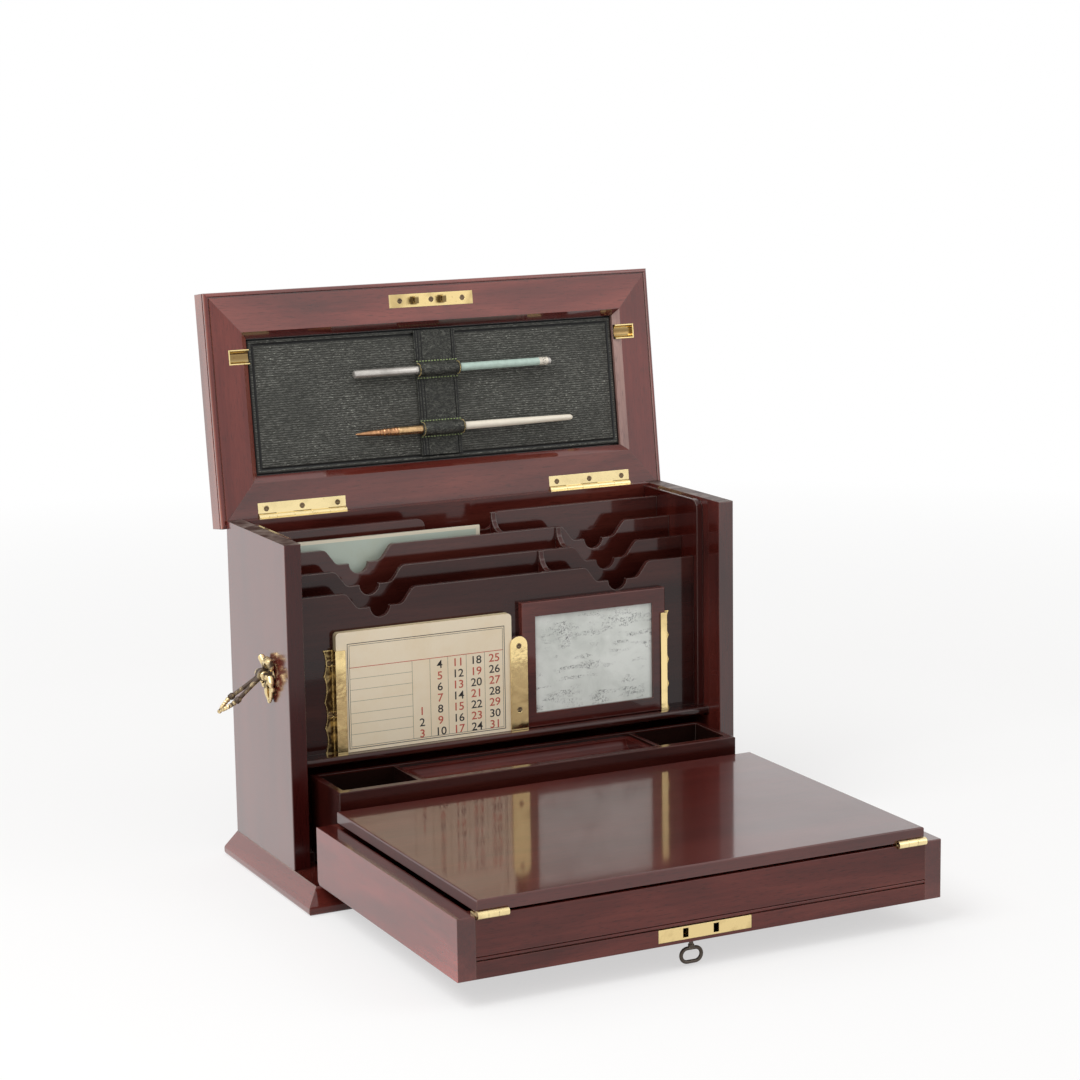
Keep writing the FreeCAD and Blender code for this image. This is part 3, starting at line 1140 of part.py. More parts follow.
outer_ring = frame_corners("lid_half", "-lid_front_reach", "lid_back_over")
face_ring = frame_corners("open_half + lid_bevel", "-lid_opening_end - lid_bevel",
                          "-lid_opening_start + lid_bevel")
inner_ring = frame_corners("open_half", "-lid_opening_end", "-lid_opening_start")


BEAD_ROUNDS = [("lid_round", (5,)), ("lid_bead_ease", (9, 11)), ("lid_bead_round", (10,))]
PLAIN_ROUNDS = [("lid_round", (5,)), ("edge_round", (6,))]


def lid_rail(name, order, axis, along, outer, inner, sign, beaded=True):
    """A mitred rail; order counts the sides of the frame from the front, anticlockwise."""
    start, end = order, (order + 1) % 4
    section = shaped(f"{name}Section", axis, along, rail_section(outer, inner, sign, beaded),
                     rounds=BEAD_ROUNDS if beaded else PLAIN_ROUNDS)
    plan = shaped(f"{name}Plan", "z", ("0", "lid_top"),
                  [outer_ring[start], outer_ring[end], face_ring[end], inner_ring[end], inner_ring[start],
                   face_ring[start]])
    return common(f"{name}Mitred", section, plan)


ACROSS = ("-lid_half", "lid_half")
ALONG = ("-lid_front_reach", "lid_back_over")
front_blank = lid_rail("LidFront", 0, "x", ACROSS, "-lid_front_reach", "-lid_opening_end", -1)
right_blank = lid_rail("LidRight", 1, "y", ALONG, "lid_half", "open_half", 1)
back_blank = lid_rail("LidBack", 2, "x", ACROSS, "lid_back_over", "-lid_opening_start", 1, beaded=False)
left_blank = lid_rail("LidLeft", 3, "y", ALONG, "-lid_half", "-open_half", -1)

# leaves let into the back rail
lid_plate = (("-lid_leaf_deep", "0"), ("lid_face", "lid_face + lid_leaf_thick"))
lid_clear = (around("0", "lid_knuckle_round"), around("0", "lid_knuckle_round"))
lid_leaves = []
lid_tools = []
lid_screws = []
for side, sign in LEFT_RIGHT:
    reach = lid_hinge_span(sign)
    holes = []
    for order, step in enumerate(("-lid_screw_apart", "0", "lid_screw_apart")):
        place = f"{sign} * lid_leaf_at + ({step})"
        holes.append(screw_hole(f"LidHole_{side}_{order}", "z", ("0", "lid_face + 2 * lid_leaf_thick"),
                                (place, "-lid_screw_in")))
        lid_screws.append(screw(f"LidScrew_{side}_{order}", "z", "lid_leaf_thick", place, "-lid_screw_in",
                                "lid_face"))
    leaf = hinge_leaf(f"LidLeaf_{side}", reach, lid_plate, lid_clear, ("0", "0"), LID_RADII,
                      "hinge_knuckles", False)
    lid_leaves.append(cut(f"LidLeafDrilled_{side}", leaf, *holes))
    lid_tools.append(block(f"LidHousing_{side}", reach, *lid_plate))
    lid_tools.append(rod(f"LidGroove_{side}", "x", reach, ("0", "0"), "lid_knuckle_round + knuckle_room"))
keep("lid_hinge_leaves", group("LidLeaves", *lid_leaves), in_lid)
keep("lid_back_rail", cut("LidBackRail", back_blank, *lid_tools), in_lid)

# strike plate with its two staples, let into the front rail
strike_plan = (hinge_stretch("lock_at", "strike_wide"), hinge_stretch("-strike_s", "strike_deep"))
strike_rise = ("lid_face", "lid_face + strike_thick")
strike_blank = [block("StrikeBlank", *strike_plan, strike_rise)]
strike_holes = []
for staple in STAPLES:
    middle = f"lock_at + {staple}"
    strike_blank.append(block(f"Staple_{staple}", hinge_stretch(middle, "staple_wide"),
                              hinge_stretch("-strike_s", "staple_deep"),
                              ("lid_face - staple_high", "lid_face")))
    strike_holes.append(rod(f"Eye_{staple}", "x", hinge_stretch(middle, "2 * staple_wide"),
                            ("-strike_s", "lid_face - staple_eye_down"), "staple_eye / 2"))
for order, step in enumerate(("-strike_screw", "0", "strike_screw")):
    strike_holes.append(screw_hole(f"StrikeHole_{order}", "z", ("0", "lid_face + 2 * strike_thick"),
                                   (f"lock_at + ({step})", "-strike_s")))
    lid_screws.append(screw(f"StrikeScrew_{order}", "z", "strike_thick", f"lock_at + ({step})", "-strike_s",
                            "lid_face"))
keep("strike_plate", cut("StrikePlate", join("StrikeBody", *strike_blank), *strike_holes), in_lid)
keep("lid_front_rail", cut("LidFrontRail", front_blank, block("StrikeHousing", *strike_plan, strike_rise)),
     in_lid)
keep("lid_screws", group("LidScrews", *lid_screws), in_lid)

# brass sockets for the knuckles of the board hinges, let into the side rails and open to the leather
socket_out = ("open_half", "board_leaf_out + socket_room + socket_wall")
socket_in = ("open_half - socket_wall", "board_leaf_out + socket_room")
socket_across = hinge_stretch("-socket_s - socket_shift", "socket_wide")
socket_rise = ("lid_face", "lid_face + socket_deep")
sockets = []
for side, sign, blank in (("left", -1, left_blank), ("right", 1, right_blank)):
    reach, inside = (socket_out, socket_in) if sign > 0 else (mirror(socket_out), mirror(socket_in))
    socket_block = block(f"SocketBlank_{side}", reach, socket_across, socket_rise)
    hollow = block(f"SocketHollow_{side}", inside,
                   (f"{socket_across[0]} + socket_wall", f"{socket_across[1]} - socket_wall"),
                   ("0", "lid_face + socket_deep - socket_wall"))
    sockets.append(cut(f"Socket_{side}", socket_block, hollow))
    keep(f"lid_{side}_rail", cut(f"LidRail_{side}", blank, socket_block), in_lid)
keep("knuckle_sockets", group("KnuckleSockets", *sockets), in_lid)

panel_room = "(lid_rebate - joint_gap)"
keep("lid_panel", block("LidPanel", (f"-open_half - {panel_room}", f"open_half + {panel_room}"),
                        (f"-lid_opening_end - {panel_room}", f"-lid_opening_start + {panel_room}"),
                        ("panel_face", "lid_top")), in_lid)

# leather-covered panel with a strap and two loops
keep("leather_panel", plank("LeatherPanel", ("-open_half + leather_room", "open_half - leather_room"),
                            ("-lid_opening_end + leather_room", "-lid_opening_start - leather_room"),
                            ("leather_face", "panel_face"), ("-z",)), in_lid)
keep("pen_strap", plank("PenStrap", hinge_stretch("strap_at", "strap_wide"), ("-strap_end", "-strap_start"),
                        ("strap_face", "leather_face")), in_lid)


def pen_loop(name, at, radius):
    """A strip of leather arched over a pen, with a foot on either side of it."""
    middle = f"-{at}"
    height = f"strap_face - pen_play - {radius}"
    bore = f"{radius} + pen_play"
    reach = hinge_stretch("strap_at", "loop_long")
    feet = block(f"{name}_feet", reach, hinge_stretch(middle, "loop_foot"),
                 ("strap_face - loop_thick", "strap_face"))
    arch = rod(f"{name}_arch", "x", reach, (middle, height), f"{bore} + loop_thick")
    walls = block(f"{name}_walls", reach, hinge_stretch(middle, f"2 * ({bore} + loop_thick)"),
                  (height, "strap_face"))
    below = block(f"{name}_below", reach, hinge_stretch(middle, "loop_foot"),
                  ("strap_face", f"strap_face + 2 * ({bore})"))
    tunnel = rod(f"{name}_tunnel", "x", reach, (middle, height), bore)
    channel = block(f"{name}_channel", reach, hinge_stretch(middle, f"2 * ({bore})"), (height, "strap_face"))
    return cut(name, join(f"{name}_blank", feet, arch, walls), below, tunnel, channel)


keep("pen_loops", group("PenLoops", pen_loop("PencilLoop", "pencil_loop_at", "pencil_round"),
                        pen_loop("PenholderLoop", "pen_loop_at", "pen_grip_round")), in_lid)


def turned(name, stations):
    """A round piece along X, given by places along it and the radius at each."""
    rim = [Vector(num(place), 0, num(radius)) for place, radius in stations]
    outline = [Vector(rim[0].x, 0, 0), *rim, Vector(rim[-1].x, 0, 0), Vector(rim[0].x, 0, 0)]
    return drawn(name, Part.Face(Part.makePolygon(outline)).revolve(Vector(0, 0, 0), AXES["x"], 360))


pencil_end = "pencil_start + pencil_long"
pencil = turned("Pencil", [("pencil_start", "pencil_round - pencil_end_round"),
                           ("pencil_start + pencil_end_round", "pencil_round"),
                           (f"{pencil_end} - pencil_end_round", "pencil_round"),
                           (pencil_end, "pencil_round - pencil_end_round")])
put(pencil, "0", "-pencil_loop_at", "strap_face - pen_play - pencil_round")
keep("pencil", pencil, in_lid)

grip_start = "pen_start + pen_nib_long"
grip_end = f"{grip_start} + pen_grip_long"
pen_end = "pen_start + pen_long"
penholder = turned("Penholder", [("pen_start", "pen_nib_round"), (grip_start, "pen_nib_root"),
                                 (grip_start, "pen_round"),
                                 (f"{grip_start} + pen_nib_long / 2", "pen_grip_round"),
                                 (grip_end, "pen_grip_round"), (grip_end, "pen_round"),
                                 (f"{pen_end} - pen_tail_round", "pen_tail_round"),
                                 (pen_end, "pen_tail_round / 2")])
put(penholder, "0", "-pen_loop_at", "strap_face - pen_play - pen_grip_round")
keep("penholder", penholder, in_lid)

# ---------------------------------------------------------------- handles

EAR_INNER = "bail_eye_long / 2 + bail_play"
EAR_OUTER = f"{EAR_INNER} + handle_ear_thick"


def handle_mount(side, sign):
    """A cast back plate with two ears and the pin between them."""
    def outward(start, end):
        return (start, end) if sign > 0 else mirror((start, end))

    plate = outward("half_wide", "half_wide + handle_plate_thick")
    shoulder = "handle_z - handle_leaf_shoulder"
    pieces = [rod(f"HandleDisc_{side}", "x", plate, ("handle_y", "handle_z"), "handle_plate_round"),
              rod(f"HandleLobe_{side}", "x", plate, ("handle_y", "handle_z + handle_lobe_up"),
                  "handle_lobe_round"),
              shaped(f"HandleLeaf_{side}", "x", plate,
                     [("handle_y - handle_lobe_round", "handle_z"),
                      ("handle_y + handle_lobe_round", "handle_z"),
                      ("handle_y + handle_lobe_round", shoulder), ("handle_y", "handle_z - handle_leaf_down"),
                      ("handle_y - handle_lobe_round", shoulder)])]
    for end, ear_sign in (("front", -1), ("back", 1)):
        ear = (f"handle_y + {EAR_INNER}", f"handle_y + {EAR_OUTER}")
        if ear_sign < 0:
            ear = (f"handle_y - ({EAR_OUTER})", f"handle_y - ({EAR_INNER})")
        pieces.append(rod(f"HandleEar_{side}_{end}", "y", ear, (f"{sign} * handle_x", "handle_z"),
                          "handle_ear_round"))
        pieces.append(block(f"HandleRoot_{side}_{end}", outward("half_wide", "handle_x"), ear,
                            ("handle_z - handle_ear_round", "handle_z + handle_ear_round")))
    pieces.append(rod(f"HandlePin_{side}", "y", (f"handle_y - ({EAR_OUTER})", f"handle_y + {EAR_OUTER}"),
                      (f"{sign} * handle_x", "handle_z"), "handle_pin_round"))
    return join(f"HandleMount_{side}", *pieces)


keep("handle_mounts", group("HandleMounts", handle_mount("left", -1), handle_mount("right", 1)))

# a bail's arm, from its eye: shares of the half width and of the length, and shares of the wire's radius
ARM = ((0.12, 0.06, 0.8), (0.45, 0.3, 0.9), (1.0, 0.64, 1.0), (0.55, 0.86, 0.85), (0.0, 1.0, 1.0))


def bail(side, sign, out):
    """A loop handle hanging from its eye, turned outward by an angle."""
    half = num("bail_wide / 2 - bail_wire")
    drop = num("bail_long - bail_wire")
    eye_long = num("bail_eye_long")
    start = Vector(0, -eye_long / 2, 0)
    shape = Part.makeCylinder(num("bail_eye_round"), eye_long, start, AXES["y"])
    for side_sign in (-1, 1):
        spots = [(Vector(0, side_sign * half * wide, -drop * deep), num("bail_wire") * thick)
                 for wide, deep, thick in ARM]
        for (low, low_round), (high, high_round) in zip(spots, spots[1:]):
            shape = shape.fuse(Part.makeCone(low_round, high_round, (high - low).Length, low, high - low))
        for spot, radius in spots[1:]:
            shape = shape.fuse(Part.makeSphere(radius, spot))
        widest = max(spots, key=lambda spot: abs(spot[0].y))[0]
        shape = shape.fuse(Part.makeSphere(num("bail_collar"), widest))
    shape = shape.cut(Part.makeCylinder(num("handle_pin_round + pin_fit"), eye_long, start, AXES["y"]))
    shape.rotate(Vector(0, 0, 0), AXES["y"], -sign * out)
    piece = drawn(f"Bail_{side}", shape)
    put(piece, f"{sign} * handle_x", "handle_y", "handle_z")
    return piece


keep("left_bail", bail("left", -1, num("bail_out_left")))
keep("right_bail", bail("right", 1, 0))

# ---------------------------------------------------------------- checks and files

doc.recompute()
for piece in doc.Objects:
    if {"Invalid", "Error"} & set(piece.State):
        raise RuntimeError(f"{piece.Name} did not build: {piece.State}")
os.makedirs("parts", exist_ok=True)
for piece in NODES:
    if piece.Shape.isNull() or not piece.Shape.isValid() or not piece.Shape.Solids:
        raise RuntimeError(f"{piece.Label} is not a sound solid")
    piece.Shape.exportStep(f"parts/{piece.Label}.step")
print(len(NODES), "pieces written")
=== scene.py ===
import json
import math

import bmesh
import bpy
from mathutils import Matrix, Vector, noise


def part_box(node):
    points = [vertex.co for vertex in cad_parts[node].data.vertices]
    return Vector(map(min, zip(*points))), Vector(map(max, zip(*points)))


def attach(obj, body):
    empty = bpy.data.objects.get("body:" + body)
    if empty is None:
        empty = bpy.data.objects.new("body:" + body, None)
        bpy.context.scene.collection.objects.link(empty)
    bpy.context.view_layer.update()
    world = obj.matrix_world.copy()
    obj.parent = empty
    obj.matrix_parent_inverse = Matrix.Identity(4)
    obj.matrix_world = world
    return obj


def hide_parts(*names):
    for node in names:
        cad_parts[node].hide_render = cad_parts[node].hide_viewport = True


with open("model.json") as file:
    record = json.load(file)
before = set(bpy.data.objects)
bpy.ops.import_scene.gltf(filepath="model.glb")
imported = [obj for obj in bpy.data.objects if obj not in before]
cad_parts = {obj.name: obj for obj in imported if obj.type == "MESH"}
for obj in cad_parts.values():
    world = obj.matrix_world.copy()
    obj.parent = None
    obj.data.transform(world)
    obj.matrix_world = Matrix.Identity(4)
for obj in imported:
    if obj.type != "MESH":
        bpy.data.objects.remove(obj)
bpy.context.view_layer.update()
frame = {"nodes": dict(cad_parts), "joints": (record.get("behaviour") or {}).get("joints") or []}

NODES = frame["nodes"]
JOINTS = {joint["name"]: joint for joint in frame["joints"]}
MM = 0.001
LID_OPEN = 97.5  # degrees that the lid stands open at rest
scene = bpy.context.scene


# ---------------------------------------------------------------- materials

class Tree:
    """A node tree, built by short calls."""

    def __init__(self, holder):
        holder.use_nodes = True
        self.tree = holder.node_tree
        self.tree.nodes.clear()

    def add(self, kind, **settings):
        made = self.tree.nodes.new(f"ShaderNode{kind}")
        for key, value in settings.items():
            setattr(made, key, value)
        return made

    def wire(self, source, socket):
        self.tree.links.new(source, socket)

    def feed(self, socket, value):
        """Link a socket to another one, or give it a plain value."""
        if isinstance(value, bpy.types.NodeSocket):
            self.wire(value, socket)
        else:
            socket.default_value = value

    def give(self, node, **values):
        """Feed a node's inputs by name, with underscores for spaces."""
        for key, value in values.items():
            self.feed(node.inputs[key.replace("_", " ")], value)

    def math(self, operation, first, second=0.0):
        made = self.add("Math", operation=operation)
        self.feed(made.inputs[0], first)
        self.feed(made.inputs[1], second)
        return made.outputs[0]

    def times(self, first, second):
        return self.math("MULTIPLY", first, second)

    def vector(self, operation, first, second=(0, 0, 0)):
        """A vector operation's outputs: the vector and the value."""
        made = self.add("VectorMath", operation=operation)
        self.feed(made.inputs[0], first)
        self.feed(made.inputs[1], second)
        return tuple(made.outputs)

    def glow(self, kind, strength, colour=(1, 1, 1)):
        """An even light: the kind is Emission or Background."""
        made = self.add(kind)
        self.give(made, Color=(*colour, 1), Strength=strength)
        return made.outputs[0]

    def blend(self, share, first, second):
        """Two shaders in one."""
        made = self.add("MixShader")
        for socket, source in zip(made.inputs, (share, first, second)):
            self.wire(source, socket)
        return made.outputs[0]

    def seen(self):
        """1 for the rays that show the background, straight or in a reflection."""
        path = self.add("LightPath")
        seen = self.math("MAXIMUM", path.outputs["Is Camera Ray"], path.outputs["Is Glossy Ray"])
        return self.math("MAXIMUM", seen, path.outputs["Is Transmission Ray"])


class Paint(Tree):
    """A material round one principled shader. Lengths in it are in metres."""

    def __init__(self, name):
        self.material = bpy.data.materials.new(name)
        super().__init__(self.material)
        self.output = self.add("OutputMaterial")
        self.coords = self.add("TexCoord").outputs["Object"]
        self.shader = self.add("BsdfPrincipled")
        self.wire(self.shader.outputs[0], self.output.inputs[0])

    def surface(self, **values):
        self.give(self.shader, **values)

    def colour(self):
        """What feeds the shader's colour so far."""
        return self.shader.inputs["Base Color"].links[0].from_socket

    def stretch(self, scale, turn=(0, 0, 0)):
        """The object's coordinates, turned and then scaled."""
        turned = self.add("Mapping", vector_type="POINT")
        turned.inputs["Rotation"].default_value = [math.radians(angle) for angle in turn]
        self.wire(self.coords, turned.inputs["Vector"])
        scaled = self.add("Mapping", vector_type="POINT")
        scaled.inputs["Scale"].default_value = scale
        self.wire(turned.outputs[0], scaled.inputs["Vector"])
        return scaled.outputs[0]

    def noise(self, vector, detail, rough, distortion=0.0):
        made = self.add("TexNoise")
        self.give(made, Vector=vector, Scale=1.0, Detail=detail, Roughness=rough, Distortion=distortion)
        return made.outputs[0]

    def cloud(self, scale, detail, rough, distortion=0.0):
        """Noise of one scale all ways."""
        return self.noise(self.stretch((scale, scale, scale)), detail, rough, distortion)

    def ramp(self, value, *stops):
        made = self.add("ValToRGB")
        elements = made.color_ramp.elements
        while len(elements) < len(stops):
            elements.new(1.0)
        for element, (place, colour) in zip(elements, stops):
            element.position = place
            element.color = (*colour, 1.0)
        self.wire(value, made.inputs[0])
        return made.outputs[0]

    def span(self, value, low, high, start=0.0, end=1.0):
        """Map a value from low..high to start..end, without going past them."""
        made = self.add("MapRange", clamp=True)
        self.give(made, Value=value, From_Min=low, From_Max=high, To_Min=start, To_Max=end)
        return made.outputs[0]

    def mix(self, share, first, second, blend="MIX"):
        made = self.add("Mix", data_type="RGBA", blend_type=blend)
        self.feed(made.inputs["Factor"], share)
        colours = (socket for socket in made.inputs if socket.type == "RGBA")
        for socket, value in zip(colours, (first, second)):
            self.feed(socket, value if isinstance(value, bpy.types.NodeSocket) else (*value, 1.0))
        return next(socket for socket in made.outputs if socket.type == "RGBA")

    def bump(self, height, strength, distance, normal=None):
        made = self.add("Bump")
        self.give(made, Strength=strength, Distance=distance, Height=height)
        if normal:
            self.wire(normal, made.inputs["Normal"])
        return made.outputs[0]

    def edges(self, radius):
        """The normal rounded over sharp edges, and a mask that is 1 on those edges."""
        bevel = self.add("Bevel", samples=4)
        self.give(bevel, Radius=radius)
        _, facing = self.vector("DOT_PRODUCT", bevel.outputs[0], self.add("NewGeometry").outputs["True Normal"])
        return bevel.outputs[0], self.span(facing, 0.995, 0.85)

    def part(self, vector, axis):
        """One component of a vector."""
        parts = self.add("SeparateXYZ")
        self.wire(vector, parts.inputs[0])
        return parts.outputs["XYZ".index(axis)]

    def facing(self, axis):
        """One component of the surface's own normal."""
        return self.part(self.add("NewGeometry").outputs["True Normal"], axis)

    def place(self, axis):
        """One coordinate of the point, as the object is at rest."""
        return self.part(self.coords, axis)

    def aside(self, axis, low, high):
        """1 on faces that look along an axis, either way, and 0 on the others."""
        return self.span(self.math("ABSOLUTE", self.facing(axis)), low, high)

    def along(self, direction, start):
        """How far a point lies from a start along a direction, at rest."""
        away, _ = self.vector("SUBTRACT", self.coords, start)
        return self.vector("DOT_PRODUCT", away, direction)[1]

    def waves(self, vector, scale, distortion, detail, fine, rough):
        made = self.add("TexWave", wave_type="BANDS", bands_direction="Y")
        self.give(made, Vector=vector, Scale=scale, Distortion=distortion, Detail=detail, Detail_Scale=fine,
                  Detail_Roughness=rough)
        return made.outputs["Fac"]

    def inside(self, node, walls):
        """1 between a node's walls, given for X, Y and the top, and 0 elsewhere."""
        low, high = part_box(node)
        share = self.math("LESS_THAN", self.place("Z"), high[2] - walls[2])
        for axis, start, end, wall in zip("XY", low, high, walls):
            share = self.times(share, self.math("GREATER_THAN", self.place(axis), start + wall))
            share = self.times(share, self.math("LESS_THAN", self.place(axis), end - wall))
        return share


GRAIN_TURNS = {"x": (0, 0, 0), "y": (0, 0, 90), "z": (0, 90, 0), "lid": (LID_OPEN, 0, 90)}
WOOD = ((0.030, 0.0052, 0.0040), (0.082, 0.0135, 0.0100), (0.165, 0.036, 0.025))  # dark, middle and light
WOOD_PORE = (0.012, 0.003, 0.002)
WORN_TOP = ((0.4, (0.045, 0.026, 0.022)), (0.52, (0.13, 0.095, 0.082)), (0.66, (0.24, 0.20, 0.18)))
# colours of rubbed edges; the grey one is partly worn edges and partly painted highlight along them
RED_RUB, GREY_RUB_AND_HIGHLIGHT, PALE_RUB = (0.23, 0.085, 0.06), (0.20, 0.155, 0.14), (0.34, 0.20, 0.15)
TRAY_WALLS = (0.0048, 0.0028, 0.0012)  # at the ends, at front and back, and the rounding of the rim
# painted shade inside the tray's wells
TRAY_SHADE = (0.006, 0.004, 0.003)


def mahogany(name, grain, tone=1.0, red=1.0, rough=0.12, worn=0.3, seed=0.0, polish=1.36, dull=0.0, edge=0.0007,
             haze=0.05, rub=RED_RUB, sides=None, fronts=None, front_coat=1.0, streaky=0.4, calm=0.0, bevel=None,
             hollow=0.0):
    """French-polished mahogany: ribbon figure, fine streaks, short pores and rubbed edges, partly painted
    highlight.

    seed moves the figure and calm evens it out. polish is the varnish's index, haze its roughness, and
    front_coat its weight on the faces that don't look along X. tone and red set the part's brightness and
    redness, partly the wood's own colour and partly painted light and shade. sides and fronts multiply the
    colour of the faces that look along X and of the others, and bevel that of the faces that look back along
    an axis: painted light and shade by the way a face looks. dull greys the top, and hollow darkens the
    inside of the tray with painted shade.
    """
    paint = Paint(name)
    turn = GRAIN_TURNS[grain]
    unshifted = paint.coords
    paint.coords, _ = paint.vector("ADD", unshifted, (seed, seed * 1.7, seed * 0.6))
    figure = paint.noise(paint.stretch((5, 26, 26), turn), 5, 0.55, 0.6)
    streaks = paint.noise(paint.stretch((14, 420, 420), turn), 6, 0.6, 0.15)
    pores = paint.noise(paint.stretch((120, 1500, 1500), turn), 2, 0.5)
    cloud = paint.cloud(9, 3, 0.5)
    paint.coords = unshifted
    dark, middle, light = ((r * tone * red, g * tone, b * tone) for r, g, b in WOOD)
    dark, light = (tuple(a + (b - a) * calm for a, b in zip(shade, middle)) for shade in (dark, light))
    colour = paint.ramp(figure, (0.25, dark), (0.5, middle), (0.82, light))
    streak = paint.ramp(streaks, (0.3, (0.6, 0.55, 0.55)), (0.62, (1.15, 1.12, 1.1)))
    colour = paint.mix(streaky, colour, streak, "MULTIPLY")
    colour = paint.mix(paint.span(pores, 0.42, 0.32, 0, 0.4), colour, WOOD_PORE)
    colour = paint.mix(paint.span(cloud, 0.35, 0.7, 0, 0.35), colour, dark)
    aside = paint.aside("X", 0.5, 0.9)
    # painted light and shade: a face's colour is multiplied by the way it looks
    if sides or fronts:
        share = paint.mix(aside, fronts or (1, 1, 1), sides or (1, 1, 1))
        colour = paint.mix(1.0, colour, share, "MULTIPLY")
    # painted light and shade on the faces that look back along an axis
    if bevel:
        axis, share = bevel
        changed = paint.mix(1.0, colour, share, "MULTIPLY")
        colour = paint.mix(paint.span(paint.facing(axis), -0.25, -0.45), colour, changed)
    # painted shade inside the tray
    if hollow:
        colour = paint.mix(paint.times(paint.inside("tray_box", TRAY_WALLS), hollow), colour, TRAY_SHADE)
    rounded, rim = paint.edges(edge)
    # rubbed edges: worn wood, and with the grey colour also painted highlight
    rubbed = paint.times(rim, paint.span(cloud, 0.35, 0.6, 0.25 * worn, worn))
    colour = paint.mix(rubbed, colour, rub)
    coat = 1.0 if front_coat == 1.0 else paint.span(aside, 0, 1, front_coat, 1.0)
    roughness = paint.span(cloud, 0.3, 0.7, rough, rough + 0.1)
    if dull:
        top = paint.span(paint.facing("Z"), 0.6, 0.9)
        mottle = paint.noise(paint.stretch((60, 90, 60)), 6, 0.7, 1.0)
        colour = paint.mix(paint.times(top, dull), colour, paint.ramp(mottle, *WORN_TOP))
        coat = paint.times(coat, paint.span(top, 0, 1, 1.0, 0.12))
        roughness = paint.math("MAXIMUM", roughness, paint.times(top, 0.5))
    normal = paint.bump(pores, 0.018, 0.0004, rounded)
    normal = paint.bump(paint.cloud(38, 2, 0.4), 0.05, 0.0012, normal)
    paint.surface(Base_Color=colour, Roughness=roughness, Normal=normal, Specular_IOR_Level=0.12,
                  Coat_Weight=coat, Coat_Roughness=haze, Coat_IOR=polish)
    return paint


BROWN_STAIN = (0.20, 0.115, 0.035)
RUBBED_BRASS = (0.95, 0.80, 0.45)


def brass(name, colour, rough=0.2, stain=0.35, stain_colour=BROWN_STAIN, warp=0.1):
    """Polished brass with fine rubbing marks, a little tarnish and a face that isn't quite flat."""
    paint = Paint(name)
    cloud = paint.cloud(48, 3, 0.5, 0.3)
    spots = paint.span(paint.cloud(300, 3, 0.6), 0.66, 0.74, 0.0, 0.7)
    marks = paint.noise(paint.stretch((90, 2200, 2200)), 3, 0.6)
    rounded, edge = paint.edges(0.0004)
    tarnish = paint.math("MAXIMUM", paint.span(cloud, 0.48, 0.7, 0.0, stain), spots)
    tint = paint.mix(tarnish, colour, stain_colour)
    tint = paint.mix(paint.times(edge, 0.5), tint, RUBBED_BRASS)
    normal = paint.bump(marks, 0.03, 0.0002, rounded)
    normal = paint.bump(cloud, warp, 0.002, normal)
    paint.surface(Base_Color=tint, Metallic=1.0, Roughness=paint.span(cloud, 0.35, 0.75, rough, rough + 0.15),
                  Normal=normal)
    return paint


FLANGE_STARTS = (-0.0045, -0.0035)  # the Y between which a clip's channel goes over into its flange


def clip_finish(name, gilded=0.0):
    """A clip: polished channel, shaded side, and a dark cast flange with gilt along its edges."""
    paint = brass(name, (0.95, 0.74, 0.36), 0.1, warp=0.35)
    cloud = paint.cloud(160, 3, 0.5, 0.5)
    flange = paint.span(paint.place("Y"), *FLANGE_STARTS)
    rim = paint.math("ADD", paint.edges(0.0016)[1], paint.span(cloud, 0.5, 0.7, gilded, 0.6 + gilded))
    cast = paint.mix(rim, (0.045, 0.026, 0.012), (0.85, 0.64, 0.28))
    colour = paint.mix(paint.times(paint.aside("X", 0.5, 0.8), 0.8), paint.colour(), (0.28, 0.19, 0.08))
    paint.surface(Base_Color=paint.mix(flange, colour, cast))
    return paint


def cast_gilt(name, share=1.0):
    """Cast brass whose gilding is worn through to dark brown in the hollows."""
    paint = Paint(name)
    cloud = paint.cloud(150, 3, 0.5, 0.4)
    rounded, _ = paint.edges(0.0008)
    high = paint.span(paint.add("NewGeometry").outputs["Pointiness"], 0.47, 0.53)
    gilt = paint.math("ADD", paint.times(high, 0.75 * share), paint.span(cloud, 0.40, 0.62, -0.3, 0.5))
    gilt = paint.span(gilt, 0.2, 0.6, 0.0, share)
    colour = paint.mix(gilt, (0.070, 0.042, 0.026), (0.84, 0.66, 0.36))
    paint.surface(Base_Color=colour, Metallic=paint.span(gilt, 0, 1, 0.3, 1.0),
                  Roughness=paint.span(gilt, 0, 1, 0.42, 0.2), Normal=paint.bump(cloud, 0.2, 0.0006, rounded))
    return paint


def socket_finish(name):
    """A brass socket, bright at its face and darker towards the bottom of its channel with painted shade."""
    paint = brass(name, (0.95, 0.74, 0.34), 0.16)
    turn = math.radians(-LID_OPEN)
    depth = paint.along((0, -math.sin(turn), math.cos(turn)), JOINTS["lid_hinge"]["pos_m"])
    # painted shade, deeper towards the bottom of the channel
    darkened = paint.span(depth, 0.0004, 0.0034, 0.0, 0.85)
    paint.surface(Base_Color=paint.mix(darkened, paint.colour(), (0.16, 0.085, 0.03)))
    return paint


RIDGE_SCALE = 174.4  # Blender's scale for ridges 1.8 mm apart
# pale flecks on the leather's ridges: painted highlights
FLECK_HIGHLIGHT = (0.50, 0.51, 0.45)


